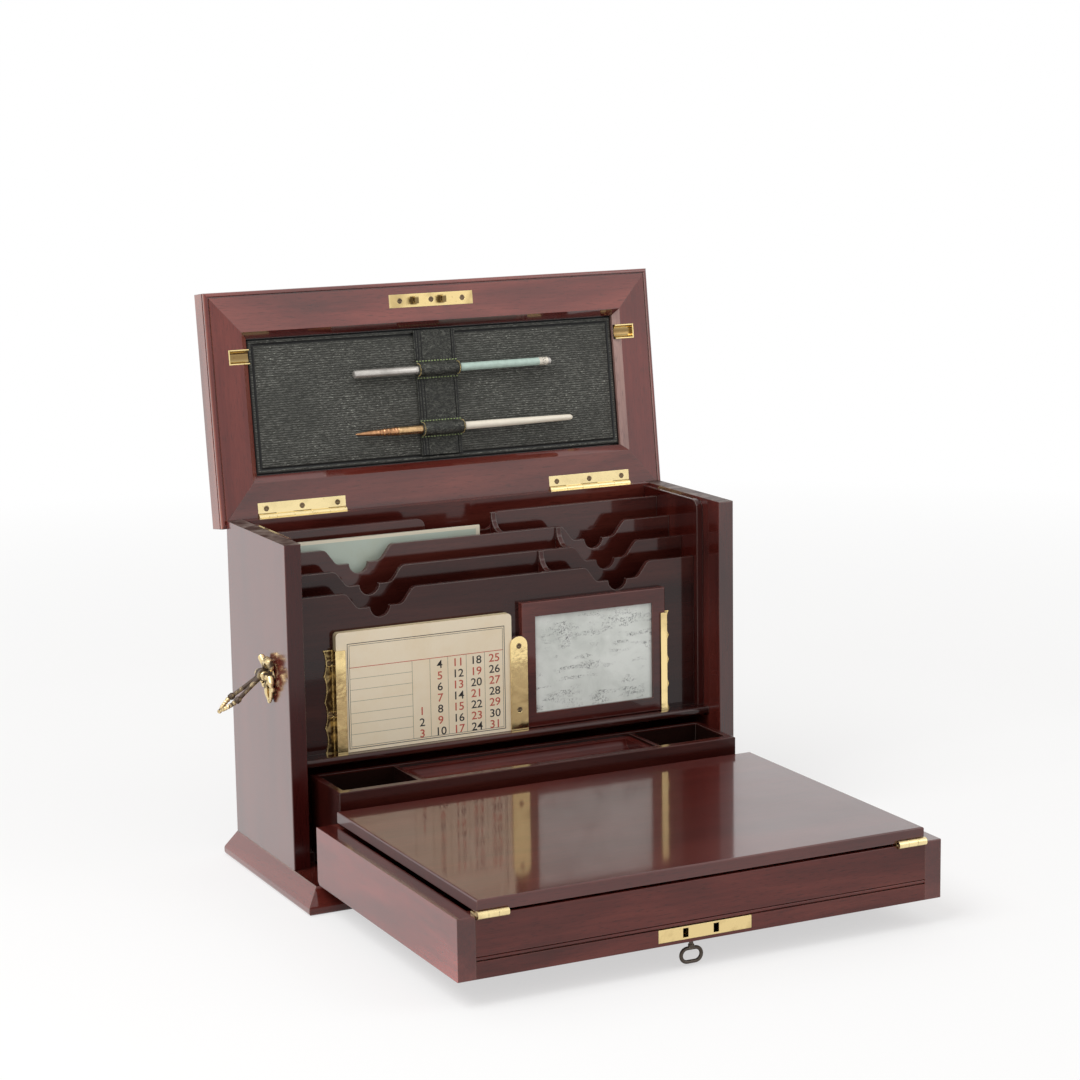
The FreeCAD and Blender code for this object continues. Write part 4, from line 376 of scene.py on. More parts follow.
def leather(name, low, high, rough=0.5, deep=1.0, gloss=0.3, pressed=False):
    """Black leather from low to high in colour: wavy ridges across the lid, or a pressed, crinkled grain; the
    raised grain takes the lighter colour and pale flecks as painted highlights.
    """
    paint = Paint(name)
    tilt = (LID_OPEN, 0, 0)
    if pressed:
        ridges = paint.span(paint.noise(paint.stretch((260, 520, 420), tilt), 4, 0.7, 1.6), 0.42, 0.74)
    else:
        ridges = paint.waves(paint.stretch((0.2, 1, 0.4), tilt), RIDGE_SCALE, 5.0, 2.0, 9.0, 0.55)
    breaks = paint.noise(paint.stretch((160, 420, 400), tilt), 2, 0.5)
    specks = paint.noise(paint.stretch((520, 900, 700), tilt), 2, 0.5)
    cloud = paint.noise(paint.stretch((22, 30, 22), tilt), 4, 0.55)
    raised = paint.times(ridges, paint.span(breaks, 0.35, 0.6, 0.5, 1.0))
    middle = tuple((a + b) / 2 for a, b in zip(low, high))
    # the raised grain takes the high colour: painted highlight on the ridges
    colour = paint.ramp(raised, (0.05, low), (0.4, middle), (0.85, high))
    # pale flecks on the ridges: painted highlights
    flecks = paint.times(paint.span(raised, 0.4, 0.7), paint.span(specks, 0.59, 0.65))
    flecks = paint.times(flecks, paint.span(cloud, 0.62, 0.4, 0.25, 0.8))
    colour = paint.mix(paint.times(flecks, deep), colour, FLECK_HIGHLIGHT)
    colour = paint.mix(paint.span(cloud, 0.4, 0.7, 0.0, 0.35), colour, low)
    paint.surface(Base_Color=colour, Roughness=paint.span(raised, 0.1, 0.8, rough + 0.1, rough - 0.1),
                  Normal=paint.bump(raised, deep, 0.0007), Specular_IOR_Level=gloss)
    return paint


STAPLES = (-0.0149, 0.0084)  # from the middle of the strike plate
STAPLE_WIDE, STAPLE_TALL = (0.0021, 0.0034), (0.0026, 0.0038)  # where its browning starts to fade and ends


def strike_finish(name):
    """The strike plate: brass that is browned round its staples."""
    paint = brass(name, (0.88, 0.68, 0.32), 0.2, 0.6)
    x, _, z = ((a + b) / 2 for a, b in zip(*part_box("strike_plate")))

    def near(axis, place, reach, most):
        apart = paint.math("ABSOLUTE", paint.math("SUBTRACT", paint.place(axis), place))
        return paint.span(apart, *reach, most, 0.0)

    left, right = (near("X", x + staple, STAPLE_WIDE, 0.85) for staple in STAPLES)
    shade = paint.times(paint.math("MAXIMUM", left, right), near("Z", z, STAPLE_TALL, 1.0))
    paint.surface(Base_Color=paint.mix(shade, paint.colour(), (0.10, 0.055, 0.02)))
    return paint


CREAM_LINE = (0.74, 0.68, 0.54)


def card(name, face, edge_colour, border=None):
    """Stout card: a mottled face, edges that show the stack, and a cream line at a node's right and top."""
    paint = Paint(name)
    cloud = paint.cloud(28, 5, 0.6)
    fibre = paint.cloud(700, 2, 0.5)
    stain = tuple(value * share for value, share in zip(face, (0.93, 0.86, 0.74)))
    colour = paint.mix(paint.span(cloud, 0.45, 0.75, 0, 0.65), face, stain)
    colour = paint.mix(paint.span(fibre, 0.6, 0.75, 0, 0.25), colour, stain)
    stack = paint.noise(paint.stretch((4, 900, 4)), 1, 0.5)
    sides = paint.ramp(stack, (0.4, tuple(value * 0.45 for value in edge_colour)), (0.55, edge_colour))
    if border:
        right, _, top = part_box(border)[1]
        beside = paint.math("GREATER_THAN", paint.place("X"), right - 0.0032)
        above = paint.math("GREATER_THAN", paint.place("Z"), top - 0.0024)
        colour = paint.mix(paint.math("MAXIMUM", beside, above), colour, CREAM_LINE)
    colour = paint.mix(paint.aside("Y", 0.4, 0.8), sides, colour)
    paint.surface(Base_Color=colour, Roughness=paint.span(cloud, 0.3, 0.7, 0.5, 0.62),
                  Normal=paint.bump(fibre, 0.08, 0.0003))
    return paint


def tablet(name):
    """An erasable writing tablet: pale glass clouded by rubbed-out pencil."""
    paint = Paint(name)
    cloud = paint.cloud(34, 5, 0.6, 0.4)
    marks = paint.noise(paint.stretch((620, 620, 900), (0, 25, 0)), 3, 0.75, 1.2)
    lines = paint.noise(paint.stretch((45, 45, 210)), 2, 0.5)
    patches = paint.cloud(52, 2, 0.5)
    colour = paint.mix(paint.span(cloud, 0.38, 0.68), (0.84, 0.88, 0.84), (0.64, 0.68, 0.64))
    written = paint.times(paint.span(marks, 0.53, 0.57), paint.span(lines, 0.5, 0.56))
    written = paint.times(written, paint.span(patches, 0.42, 0.55))
    colour = paint.mix(written, colour, (0.20, 0.21, 0.21))
    paint.surface(Base_Color=colour, Roughness=paint.span(cloud, 0.3, 0.7, 0.3, 0.42),
                  Normal=paint.bump(cloud, 0.06, 0.0004), Specular_IOR_Level=0.35)
    return paint


def plain(name, colour, rough, metal=0.0, mottle=0.25, scale=160, coat=0.0):
    """A simple finish with some mottling and unevenness."""
    paint = Paint(name)
    cloud = paint.cloud(scale, 5, 0.6)
    tint = paint.mix(paint.span(cloud, 0.4, 0.7), colour, [value * (1 - mottle) for value in colour])
    paint.surface(Base_Color=tint, Metallic=metal, Roughness=paint.span(cloud, 0.3, 0.7, rough, rough + 0.12),
                  Normal=paint.bump(cloud, 0.08, 0.0003), Coat_Weight=coat)
    return paint


def dress(paint, *names):
    """Give CAD nodes a finish."""
    for name in names:
        mesh = NODES[name].data
        mesh.materials.clear()
        mesh.materials.append(paint.material)


# fronts on the case sides: painted shade on the faces that don't look along X
# tone and red set each part's brightness and redness: partly the wood's own colour and partly painted light and
# shade, darker for the parts inside the case
dress(mahogany("polished_case_left", "z", 1.6, worn=0.5, seed=0.3, polish=2.02, dull=0.9, haze=0.16, calm=0.4,
               fronts=(0.36, 0.26, 0.30), front_coat=0.22), "left_side")
dress(mahogany("polished_case_right", "z", 1.2, worn=0.5, seed=0.5, polish=1.62, dull=0.9, haze=0.1,
               fronts=(0.7, 0.9, 0.95)), "right_side")
dress(mahogany("polished_case_back", "x", seed=0.7, haze=0.1), "back_panel", "base_board")
dress(mahogany("polished_plinth_front", "x", 1.3, worn=0.9, seed=1.1, edge=0.0012), "plinth_front")
dress(mahogany("polished_plinth_side", "y", 2.1, worn=1.0, seed=1.4, polish=1.62, haze=0.2, edge=0.0014,
               streaky=0.15, calm=0.5, rub=PALE_RUB), "plinth_left", "plinth_right")
dress(mahogany("polished_rack", "x", 0.55, 0.9, worn=0.9, seed=1.9, edge=0.0014, rub=GREY_RUB_AND_HIGHLIGHT),
      "front_divider", "second_divider", "strip_batten", "rack_shelf")
dress(mahogany("polished_rack_rear", "x", 0.85, 0.9, worn=0.9, seed=2.1, edge=0.0014, rub=GREY_RUB_AND_HIGHLIGHT,
               polish=1.48), "third_divider", "rear_divider")
dress(mahogany("polished_cheek", "z", 0.5, 1.2, worn=0.8, seed=2.3, polish=1.3, edge=0.0014, rub=GREY_RUB_AND_HIGHLIGHT),
      "left_cheek", "right_cheek")
dress(mahogany("polished_partition", "y", 0.7, worn=1.0, seed=2.6, edge=0.0016, rub=GREY_RUB_AND_HIGHLIGHT),
      "partitions", "tray_runners")
# bevel: painted shade on the faces that look down
dress(mahogany("polished_lid_front", "x", 2.3, 0.95, worn=0.5, seed=3.1, polish=1.74,
               bevel=("Z", (0.42, 0.36, 0.42))), "lid_front_rail")
dress(mahogany("polished_lid_back", "x", 1.5, 0.95, worn=0.5, seed=3.3, polish=1.64), "lid_back_rail")
# sides: painted reflection that lightens the faces that look along X
dress(mahogany("polished_lid_left", "lid", 1.7, 1.1, worn=0.5, seed=3.5, polish=1.5, haze=0.12,
               sides=(2.0, 3.6, 3.2)), "lid_left_rail")
# bevel: painted highlight on the faces that look back along X
dress(mahogany("polished_lid_right", "lid", 1.9, 1.1, worn=0.5, seed=3.7, polish=1.66,
               bevel=("X", (2.3, 8.5, 10.0))), "lid_right_rail")
dress(mahogany("polished_lid_panel", "x", 1.4, seed=3.9, polish=1.5, haze=0.1), "lid_panel")
# fronts: painted shade on the faces that don't look along X
dress(mahogany("polished_fall_stile", "y", 2.3, 1.4, worn=0.7, seed=4.2, polish=1.54, haze=0.14, edge=0.0012,
               fronts=(0.38, 0.52, 0.55)), "fall_sides")
dress(mahogany("polished_fall_rail", "x", 1.25, worn=0.9, seed=4.8),
      "fall_front_rail", "fall_back_rail", "fall_panel")
dress(mahogany("polished_writing_board", "x", 0.8, 1.2, rough=0.3, worn=1.0, seed=5.3, polish=1.56, haze=0.075,
               calm=0.5, streaky=0.3, edge=0.001), "writing_board")
# hollow paints shade inside the tray
dress(mahogany("polished_tray", "x", 0.5, worn=0.9, seed=5.9, polish=1.22, haze=0.24, edge=0.0006, rub=GREY_RUB_AND_HIGHLIGHT,
               hollow=0.8), "tray_box", "tray_dividers")
dress(mahogany("polished_trough", "x", 0.62, 1.3, seed=6.4, polish=1.2, haze=0.25), "pen_trough")
dress(mahogany("polished_memo_frame", "x", 1.1, 1.05, worn=0.9, seed=6.8, polish=1.45, edge=0.001),
      "memo_frame")
dress(clip_finish("left_clip_brass"), "left_clip")
dress(clip_finish("right_clip_brass", 0.45), "right_clip")
dress(brass("strip_brass", (0.95, 0.74, 0.36), 0.07, 0.4, warp=0.14), "centre_strip")
dress(brass("hinge_brass", (0.92, 0.75, 0.40), 0.18, 0.25), "ledge_hinge_leaves", "case_hinge_leaves",
      "lid_hinge_leaves", "fall_hinge_leaves", "rim_hinge_leaves", "board_hinge_leaves", "case_hinge_pins",
      "board_hinge_pins")
dress(strike_finish("strike_brass"), "strike_plate")
dress(brass("lock_brass", (0.80, 0.62, 0.30), 0.2, 0.6), "lock_case", "lock_bolt")
SOCKET = socket_finish("socket_brass")
dress(SOCKET, "knuckle_sockets")
dress(brass("screw_brass", (0.16, 0.11, 0.07), 0.32, 0.6, (0.03, 0.02, 0.012)), "clip_screws", "lid_screws")
dress(brass("key_bronze", (0.09, 0.074, 0.063), 0.34, 0.7, (0.06, 0.045, 0.035)), "key")
LEATHER = leather("straight_grain_leather", (0.041, 0.042, 0.037), (0.158, 0.160, 0.142))
STRAP_LEATHER = leather("pressed_strap_leather", (0.016, 0.0165, 0.014), (0.170, 0.174, 0.148), 0.4, 0.8, 0.34,
                        pressed=True)
# near-black tooled lines: the tooling's own darker tone and painted shade in the grooves and along the panel's
# edge
TOOLING_AND_GROOVE_SHADE = plain("tooling_and_groove_shade", (0.005, 0.0055, 0.005), 0.5, mottle=0.4, scale=500)
dress(LEATHER, "leather_panel", "pen_strap", "pen_loops")
dress(card("calendar_card", (0.90, 0.79, 0.60), (0.66, 0.54, 0.33)), "calendar_cards")
dress(card("mint_card", (0.47, 0.54, 0.47), (0.75, 0.70, 0.55), "letter_card"), "letter_card")
dress(tablet("opal_tablet"), "memo_tablet")
MINT = plain("mint_paint", (0.46, 0.60, 0.53), 0.3, coat=0.5, mottle=0.18, scale=260)
IVORY = plain("ivory", (0.86, 0.79, 0.66), 0.28, mottle=0.10, scale=90, coat=0.5)
SILVER = plain("dull_silver", (0.60, 0.57, 0.53), 0.3, metal=0.7, mottle=0.3, scale=120)
PALE_METAL = plain("pale_ferrule", (0.78, 0.72, 0.62), 0.4, metal=0.35, mottle=0.3, scale=300)
COPPER = plain("worn_copper", (0.62, 0.33, 0.17), 0.26, metal=1.0, mottle=0.5, scale=420)
PEN_BRASS = plain("worn_pen_brass", (0.66, 0.43, 0.22), 0.24, metal=1.0, mottle=0.45, scale=380)
THREAD = plain("green_gold_thread", (0.36, 0.46, 0.20), 0.5, mottle=0.5, scale=900)
GILT_DOTS = plain("gilt_beads", (0.72, 0.55, 0.24), 0.3, metal=1.0, mottle=0.4, scale=700)
GILT = cast_gilt("worn_gilt_casting")
BROWNED = cast_gilt("browned_casting", 0.35)
# dark dots for the ferrule's holes: painted shade
HOLE_SHADE = plain("painted_hole_shade", (0.03, 0.025, 0.02), 0.6, mottle=0.4, scale=900)
BLACK_INK = plain("black_print", (0.025, 0.022, 0.022), 0.5, mottle=0.5, scale=900)
RED_INK = plain("red_print", (0.60, 0.12, 0.075), 0.5, mottle=0.35, scale=900)
FAINT_INK = plain("faint_print", (0.33, 0.32, 0.22), 0.5, mottle=0.35, scale=900)
dress(MINT, "pencil")
dress(IVORY, "penholder")
dress(GILT, "handle_mounts", "left_bail", "right_bail")


# ---------------------------------------------------------------- pieces

LID = Matrix.Translation(JOINTS["lid_hinge"]["pos_m"]) @ Matrix.Rotation(math.radians(-LID_OPEN), 4, "X")
WORLD = Matrix.Identity(4)


def link(name, data):
    """A new object in the scene."""
    made = bpy.data.objects.new(name, data)
    scene.collection.objects.link(made)
    return made


def baked(holder):
    """The mesh of an object's text, or of the object with its modifiers."""
    bpy.context.view_layer.update()
    return bpy.data.meshes.new_from_object(holder.evaluated_get(bpy.context.evaluated_depsgraph_get()))


def make_piece(name, points, faces, paint, body, slot, place=WORLD, crease=35):
    """A piece from points in millimetres, put in place and hung on a body."""
    mesh = bpy.data.meshes.new(name)
    mesh.from_pydata([place @ (Vector(point) * MM) for point in points], [], faces)
    work = bmesh.new()
    work.from_mesh(mesh)
    bmesh.ops.recalc_face_normals(work, faces=work.faces)
    work.to_mesh(mesh)
    work.free()
    for face in mesh.polygons:
        face.use_smooth = True
    mesh.set_sharp_from_angle(angle=math.radians(crease))
    mesh.materials.append(paint.material)
    piece = link(name, mesh)
    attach(piece, body)
    return piece


def join(*shapes):
    """Points and faces of several shapes as one."""
    points, faces = [], []
    for some_points, some_faces in shapes:
        start = len(points)
        points += some_points
        faces += [tuple(start + corner for corner in face) for face in some_faces]
    return points, faces


def shell(outer, inner):
    """A closed sheet between two grids of points of the same size."""
    rows, columns = len(outer), len(outer[0])
    points = [spot for row in (*outer, *inner) for spot in row]
    under = rows * columns
    faces = []
    for row in range(rows - 1):
        for column in range(columns - 1):
            first = row * columns + column
            face = (first, first + 1, first + columns + 1, first + columns)
            faces += [face, tuple(under + corner for corner in reversed(face))]
    rim = [*range(columns), *range(2 * columns - 1, under, columns), *range(under - 2, under - columns - 1, -1),
           *range(under - 2 * columns, 0, -columns)]
    faces += [(first, under + first, under + after, after) for first, after in zip(rim, rim[1:] + rim[:1])]
    return points, faces


def tube(spots, radii, sides=12, flat=1.0):
    """A closed round bar through spots, with a radius at each; flat squeezes it along its first normal."""
    spots = [Vector(spot) for spot in spots]
    points, faces, normal = [], [], None
    for order, (spot, radius) in enumerate(zip(spots, radii)):
        ahead = (spots[min(order + 1, len(spots) - 1)] - spots[max(order - 1, 0)]).normalized()
        normal = ahead.orthogonal() if normal is None else normal - ahead * normal.dot(ahead)
        normal.normalize()
        across = ahead.cross(normal)
        for side in range(sides):
            angle = 2 * math.pi * side / sides
            points.append(spot + radius * (normal * math.cos(angle) * flat + across * math.sin(angle)))
    for low in range(0, len(points) - sides, sides):
        for side in range(sides):
            after = (side + 1) % sides
            faces.append((low + side, low + after, low + sides + after, low + sides + side))
    faces += [tuple(reversed(range(sides))), tuple(range(len(points) - sides, len(points)))]
    return points, faces


def blob(centre, radii):
    """A ball, or an ellipsoid with a radius along each axis."""
    rings = 8
    angles = [math.pi * (step + 0.5) / rings for step in range(rings)]
    points, faces = tube([(0, 0, -math.cos(angle)) for angle in angles], [math.sin(angle) for angle in angles])
    return [Vector(centre) + Vector(a * b for a, b in zip(point, radii)) for point in points], faces


def turned(stations, place, sides=32):
    """A round piece along X, from (x, radius) stations."""
    return tube([(x, *place) for x, _ in stations], [radius for _, radius in stations], sides)


def spread(low, high, step):
    """Even places from low to high, about a step apart."""
    count = max(1, round((high - low) / step))
    return [low + (high - low) * order / count for order in range(count + 1)]


def smooth(value, low, high):
    share = min(1.0, max(0.0, (value - low) / (high - low)))
    return share * share * (3 - 2 * share)


def make_leather_panel():
    """The padded leather lining of the lid: a flat tooled border round a crowned middle."""
    half, near, far, back = 155.4, 31.6, 134.6, 14.0
    border, groove, crown = 6.5, 0.8, 5.14

    def face(x, s):
        inset = min(half - abs(x), s - near, far - s)
        round_in = smooth(inset, 4.6, 11.5)
        height = border + (crown - border) * round_in
        height += groove * max(0.0, 1 - abs(inset - 4.2) / 1.1)
        sway = noise.noise(Vector((x * 0.03, s * 0.05, 0))) + 0.5 * noise.noise(Vector((x * 0.11, s * 0.16, 3)))
        height += 0.22 * (0.5 + 0.5 * sway) * round_in * (abs(x) > 20)
        return max(height, crown) + 0.9 * (1 - smooth(inset, 0.0, 1.2))

    grooves = (3.1, 3.7, 4.2, 4.7, 5.3)
    columns, rows = (sorted({*spread(low, high, 1.5), *(low + inset for inset in grooves),
                             *(high - inset for inset in grooves)})
                     for low, high in ((-half, half), (near, far)))
    outer = [[(x, -s, face(x, s)) for x in columns] for s in rows]
    inner = [[(x, -s, back) for x in columns] for s in rows]
    piece = make_piece("padded_lining", *shell(outer, inner), LEATHER, "lid", "black_leather", LID, 60)
    piece.data.materials.append(TOOLING_AND_GROOVE_SHADE.material)
    from_lid = LID.inverted()
    for polygon in piece.data.polygons:
        x, y, n = (value / MM for value in from_lid @ polygon.center)
        inset = min(half - abs(x), -y - near, far + y)
        # the grooves and the edge take the tooling finish: tooling and painted shade
        polygon.material_index = int(n < back - 2 and (inset < 0.9 or 3.3 < inset < 5.1))
    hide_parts("leather_panel")


STRAP_FACE = 3.9  # millimetres below the lid's hinge plane
# down the lid, below the same plane, the pen's radius, and how far the feet reach
LOOPS = {"pencil": (102.5, 0.3, 3.3, 7.5), "penholder": (56.5, 0.0, 3.6, 7.1)}


def make_strap():
    """The strap under the loops, with blind-tooled lines along its edges and a slight bow between the loops."""
    left, right, near, far = -18.8, 16.2, 36.0, 133.0
    lines = (-17.4, -15.4, -12.8, 12.9, 14.9)
    columns = sorted({*spread(left, right, 1.4), *(line + aside for line in lines for aside in (-0.5, 0, 0.5))})
    bows = ((62, 97, 0.75), (36, 50, 0.3), (110, 133, 0.25))

    def face(x, s):
        across = math.cos(math.pi * (x + 1.3) / 35) ** 0.6 if abs(x + 1.3) < 17.4 else 0.0
        bow = sum(rise * math.sin(math.pi * (s - low) / (high - low))
                  for low, high, rise in bows if low < s < high)
        return STRAP_FACE - bow * across + 0.65 * any(abs(x - line) < 0.1 for line in lines)

    rows = spread(near, far, 1.6)
    outer = [[(x, -s, face(x, s)) for x in columns] for s in rows]
    inner = [[(x, -s, 5.1) for x in columns] for s in rows]
    piece = make_piece("tooled_strap", *shell(outer, inner), STRAP_LEATHER, "lid", "black_leather", LID, 75)
    piece.data.materials.append(TOOLING_AND_GROOVE_SHADE.material)
    from_lid = LID.inverted()
    for polygon in piece.data.polygons:
        x = (from_lid @ polygon.center).x / MM
        # the tooled grooves take the tooling finish: tooling and painted shade
        polygon.material_index = int(any(abs(x - line) < 0.7 for line in lines))
    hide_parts("pen_strap")


def loop_line(height, radius, foot):
    """Half of a loop's outer and inner lines, from the end of its foot to the top of its arch."""
    outer = [(foot, height - 0.8), (foot - 0.9, height - 0.95), (radius + 0.95, height - 1.0),
             (radius + 0.4, height - 1.4), (radius + 0.1, height - 2.3)]
    inner = [(foot, height), (foot - 0.9, height), (radius + 0.3, height), (radius - 0.5, height - 0.3),
             (radius - 0.95, height - 1.2)]
    for angle in (math.radians(turn) for turn in (5, 20, 35, 50, 65, 80, 90)):
        outer.append((radius * math.cos(angle), -radius * math.sin(angle)))
        inner.append(((radius - 1.1) * math.cos(angle), -(radius - 1.1) * math.sin(angle)))
    return outer, inner


def make_loops():
    """Two leather loops with pinked feet, stitching along them and beaded ends."""
    loops, stitches, beads = [], [], []
    low, high = -19.0, 16.4
    columns = spread(low, high, 0.86)
    for s0, n0, radius, foot in LOOPS.values():
        outer, inner = ([*half, *((-s, n) for s, n in reversed(half[:-1]))]
                        for half in loop_line(STRAP_FACE - n0, radius + 1.35, foot))
        grids = []
        for line, is_outer in ((outer, True), (inner, False)):
            grid = []
            for place, (s, n) in enumerate(line):
                at_foot = place in (0, len(line) - 1)
                row = []
                for order, x in enumerate(columns):
                    from_end = min(order, len(columns) - 1 - order)
                    sunk = 0.5 if is_outer and from_end in (2, 5) else 0.0
                    pull = 1 - sunk / max(1.0, math.hypot(s, n))
                    pinked = math.copysign(0.42, s) * (-1) ** order if at_foot else 0.0
                    rise = n + sunk if at_foot else n * (pull if abs(n) < radius + 2 else 1)
                    row.append((x, -(s0 + s * pull + pinked), n0 + rise))
                grid.append(row)
            grids.append(grid)
        loops.append(shell(*grids))
        for side in (-1, 1):
            edge = s0 + side * (foot - 0.95)
            for x in spread(low + 1.2, high - 1.2, 2.5):
                spots = [(x - 0.62, -edge, STRAP_FACE - 0.95), (x - 0.3, -edge, STRAP_FACE - 1.25),
                         (x + 0.3, -edge, STRAP_FACE - 1.25), (x + 0.62, -edge, STRAP_FACE - 0.95)]
                stitches.append(tube(spots, (0.3, 0.5, 0.5, 0.3), 6))
        for x in (low + 0.9, high - 0.9):
            for s, n in outer[4:-4]:
                out = 1 + 0.05 / math.hypot(s, n)
                beads.append(blob((x, -(s0 + s * out), n0 + n * out), (0.34, 0.4, 0.4)))
    piece = make_piece("leather_loops", *join(*loops), STRAP_LEATHER, "lid", "black_leather", LID, 60)
    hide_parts("pen_loops")
    make_piece("loop_stitches", *join(*stitches), THREAD, "lid", "black_leather", LID, 80)
    make_piece("loop_beads", *join(*beads), GILT_DOTS, "lid", "brass", LID, 80)


def make_pencil():
    """The pencil: cap, painted barrel, pierced ferrule and tip."""
    place = (-LOOPS["pencil"][0], LOOPS["pencil"][1])
    cap = [(-72.9, 1.2), (-72.8, 2.2), (-72.3, 2.9), (-71.4, 3.2), (-70.8, 3.1), (-70.2, 3.22), (-22.0, 3.25),
           (-21.4, 3.1), (-20.8, 3.1), (-20.2, 3.25), (-18.2, 3.25), (-18.0, 3.1)]
    barrel = [(-18.2, 3.0), (-17.8, 3.12), (30.0, 3.15), (85.4, 3.1), (85.6, 2.9)]
    ferrule = [(85.5, 3.0), (85.7, 3.25), (86.3, 3.25), (86.6, 3.05), (87.2, 3.05), (87.5, 3.25), (91.2, 3.25),
               (91.5, 3.05), (92.0, 3.05), (92.3, 3.25), (92.9, 3.22), (93.1, 2.95)]
    tip = [(93.0, 2.6), (93.1, 2.85), (94.9, 2.85), (95.6, 2.5), (95.9, 1.6)]
    pieces = [make_piece("pencil_cap", *turned(cap, place), SILVER, "pencil", "key_steel", LID),
              make_piece("pencil_barrel", *turned(barrel, place), MINT, "pencil", "green_paint", LID),
              make_piece("pencil_ferrule", *turned(ferrule, place), PALE_METAL, "pencil", "brass", LID),
              make_piece("pencil_tip", *turned(tip, place), SILVER, "pencil", "key_steel", LID)]
    holes = []
    for ring, x in enumerate((88.6, 90.2)):
        for step in range(10):
            angle = 2 * math.pi * (step + ring / 2) / 10
            spot = (x, place[0] + 3.22 * math.cos(angle), place[1] + 3.22 * math.sin(angle))
            holes.append(blob(spot, (0.32, 0.32, 0.32)))
    # the holes are dark dots: painted shade
    make_piece("ferrule_holes", *join(*holes), HOLE_SHADE, "pencil", "dark_brass", LID, 80)
    for piece in pieces:
        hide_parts("pencil")


def make_penholder():
    """The penholder: nib, stepped rings, brass sleeve and ivory handle."""
    place = (-LOOPS["penholder"][0], LOOPS["penholder"][1])
    nib = [(-74.8, 0.35), (-74.0, 0.7), (-71.0, 1.15), (-66.0, 1.75), (-61.0, 2.2), (-58.0, 2.35),
           (-56.6, 2.45), (-56.0, 2.2)]
    rings = []
    for x, radius in ((-55.8, 2.5), (-53.2, 2.7), (-50.8, 3.0), (-47.6, 3.1), (-44.0, 3.3), (-41.4, 3.5)):
        rings += [(x - 0.9, radius - 0.35), (x - 0.5, radius), (x + 0.4, radius), (x + 0.8, radius - 0.3)]
    rings.append((-39.6, 3.1))
    sleeve = [(-39.8, 3.1), (-39.4, 3.45), (-38.6, 3.5), (-38.0, 3.3), (-37.2, 3.3), (-18.4, 3.5), (-17.0, 3.5)]
    handle = [(-17.2, 3.0), (-16.8, 3.2), (17.0, 3.15), (60.0, 2.95), (96.0, 2.5), (107.0, 2.35), (109.6, 2.2),
              (111.0, 1.7), (111.8, 0.8)]
    pieces = [make_piece("pen_nib", *turned(nib, place), COPPER, "penholder", "dark_brass", LID),
              make_piece("pen_rings", *turned(rings, place), COPPER, "penholder", "dark_brass", LID, 25),
              make_piece("pen_tube", *turned(sleeve, place), PEN_BRASS, "penholder", "brass", LID),
              make_piece("pen_handle", *turned(handle, place), IVORY, "penholder", "ivory", LID)]
    for piece in pieces:
        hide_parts("penholder")


def cast_skin(piece, size, rounds):
    """Melt the parts of a casting into one skin."""
    melt = piece.modifiers.new("melt", "REMESH")
    melt.mode = "VOXEL"
    melt.voxel_size = size
    soften = piece.modifiers.new("soften", "SMOOTH")
    soften.factor = 0.5
    soften.iterations = rounds
    skin = baked(piece)
    piece.modifiers.clear()
    for face in skin.polygons:
        face.use_smooth = True
    piece.data = skin


PIN = (185.0, 2.3, 158.0)  # a mount's middle, on the case's side
PIN_OUT = 7.4  # from the case's side to the pin


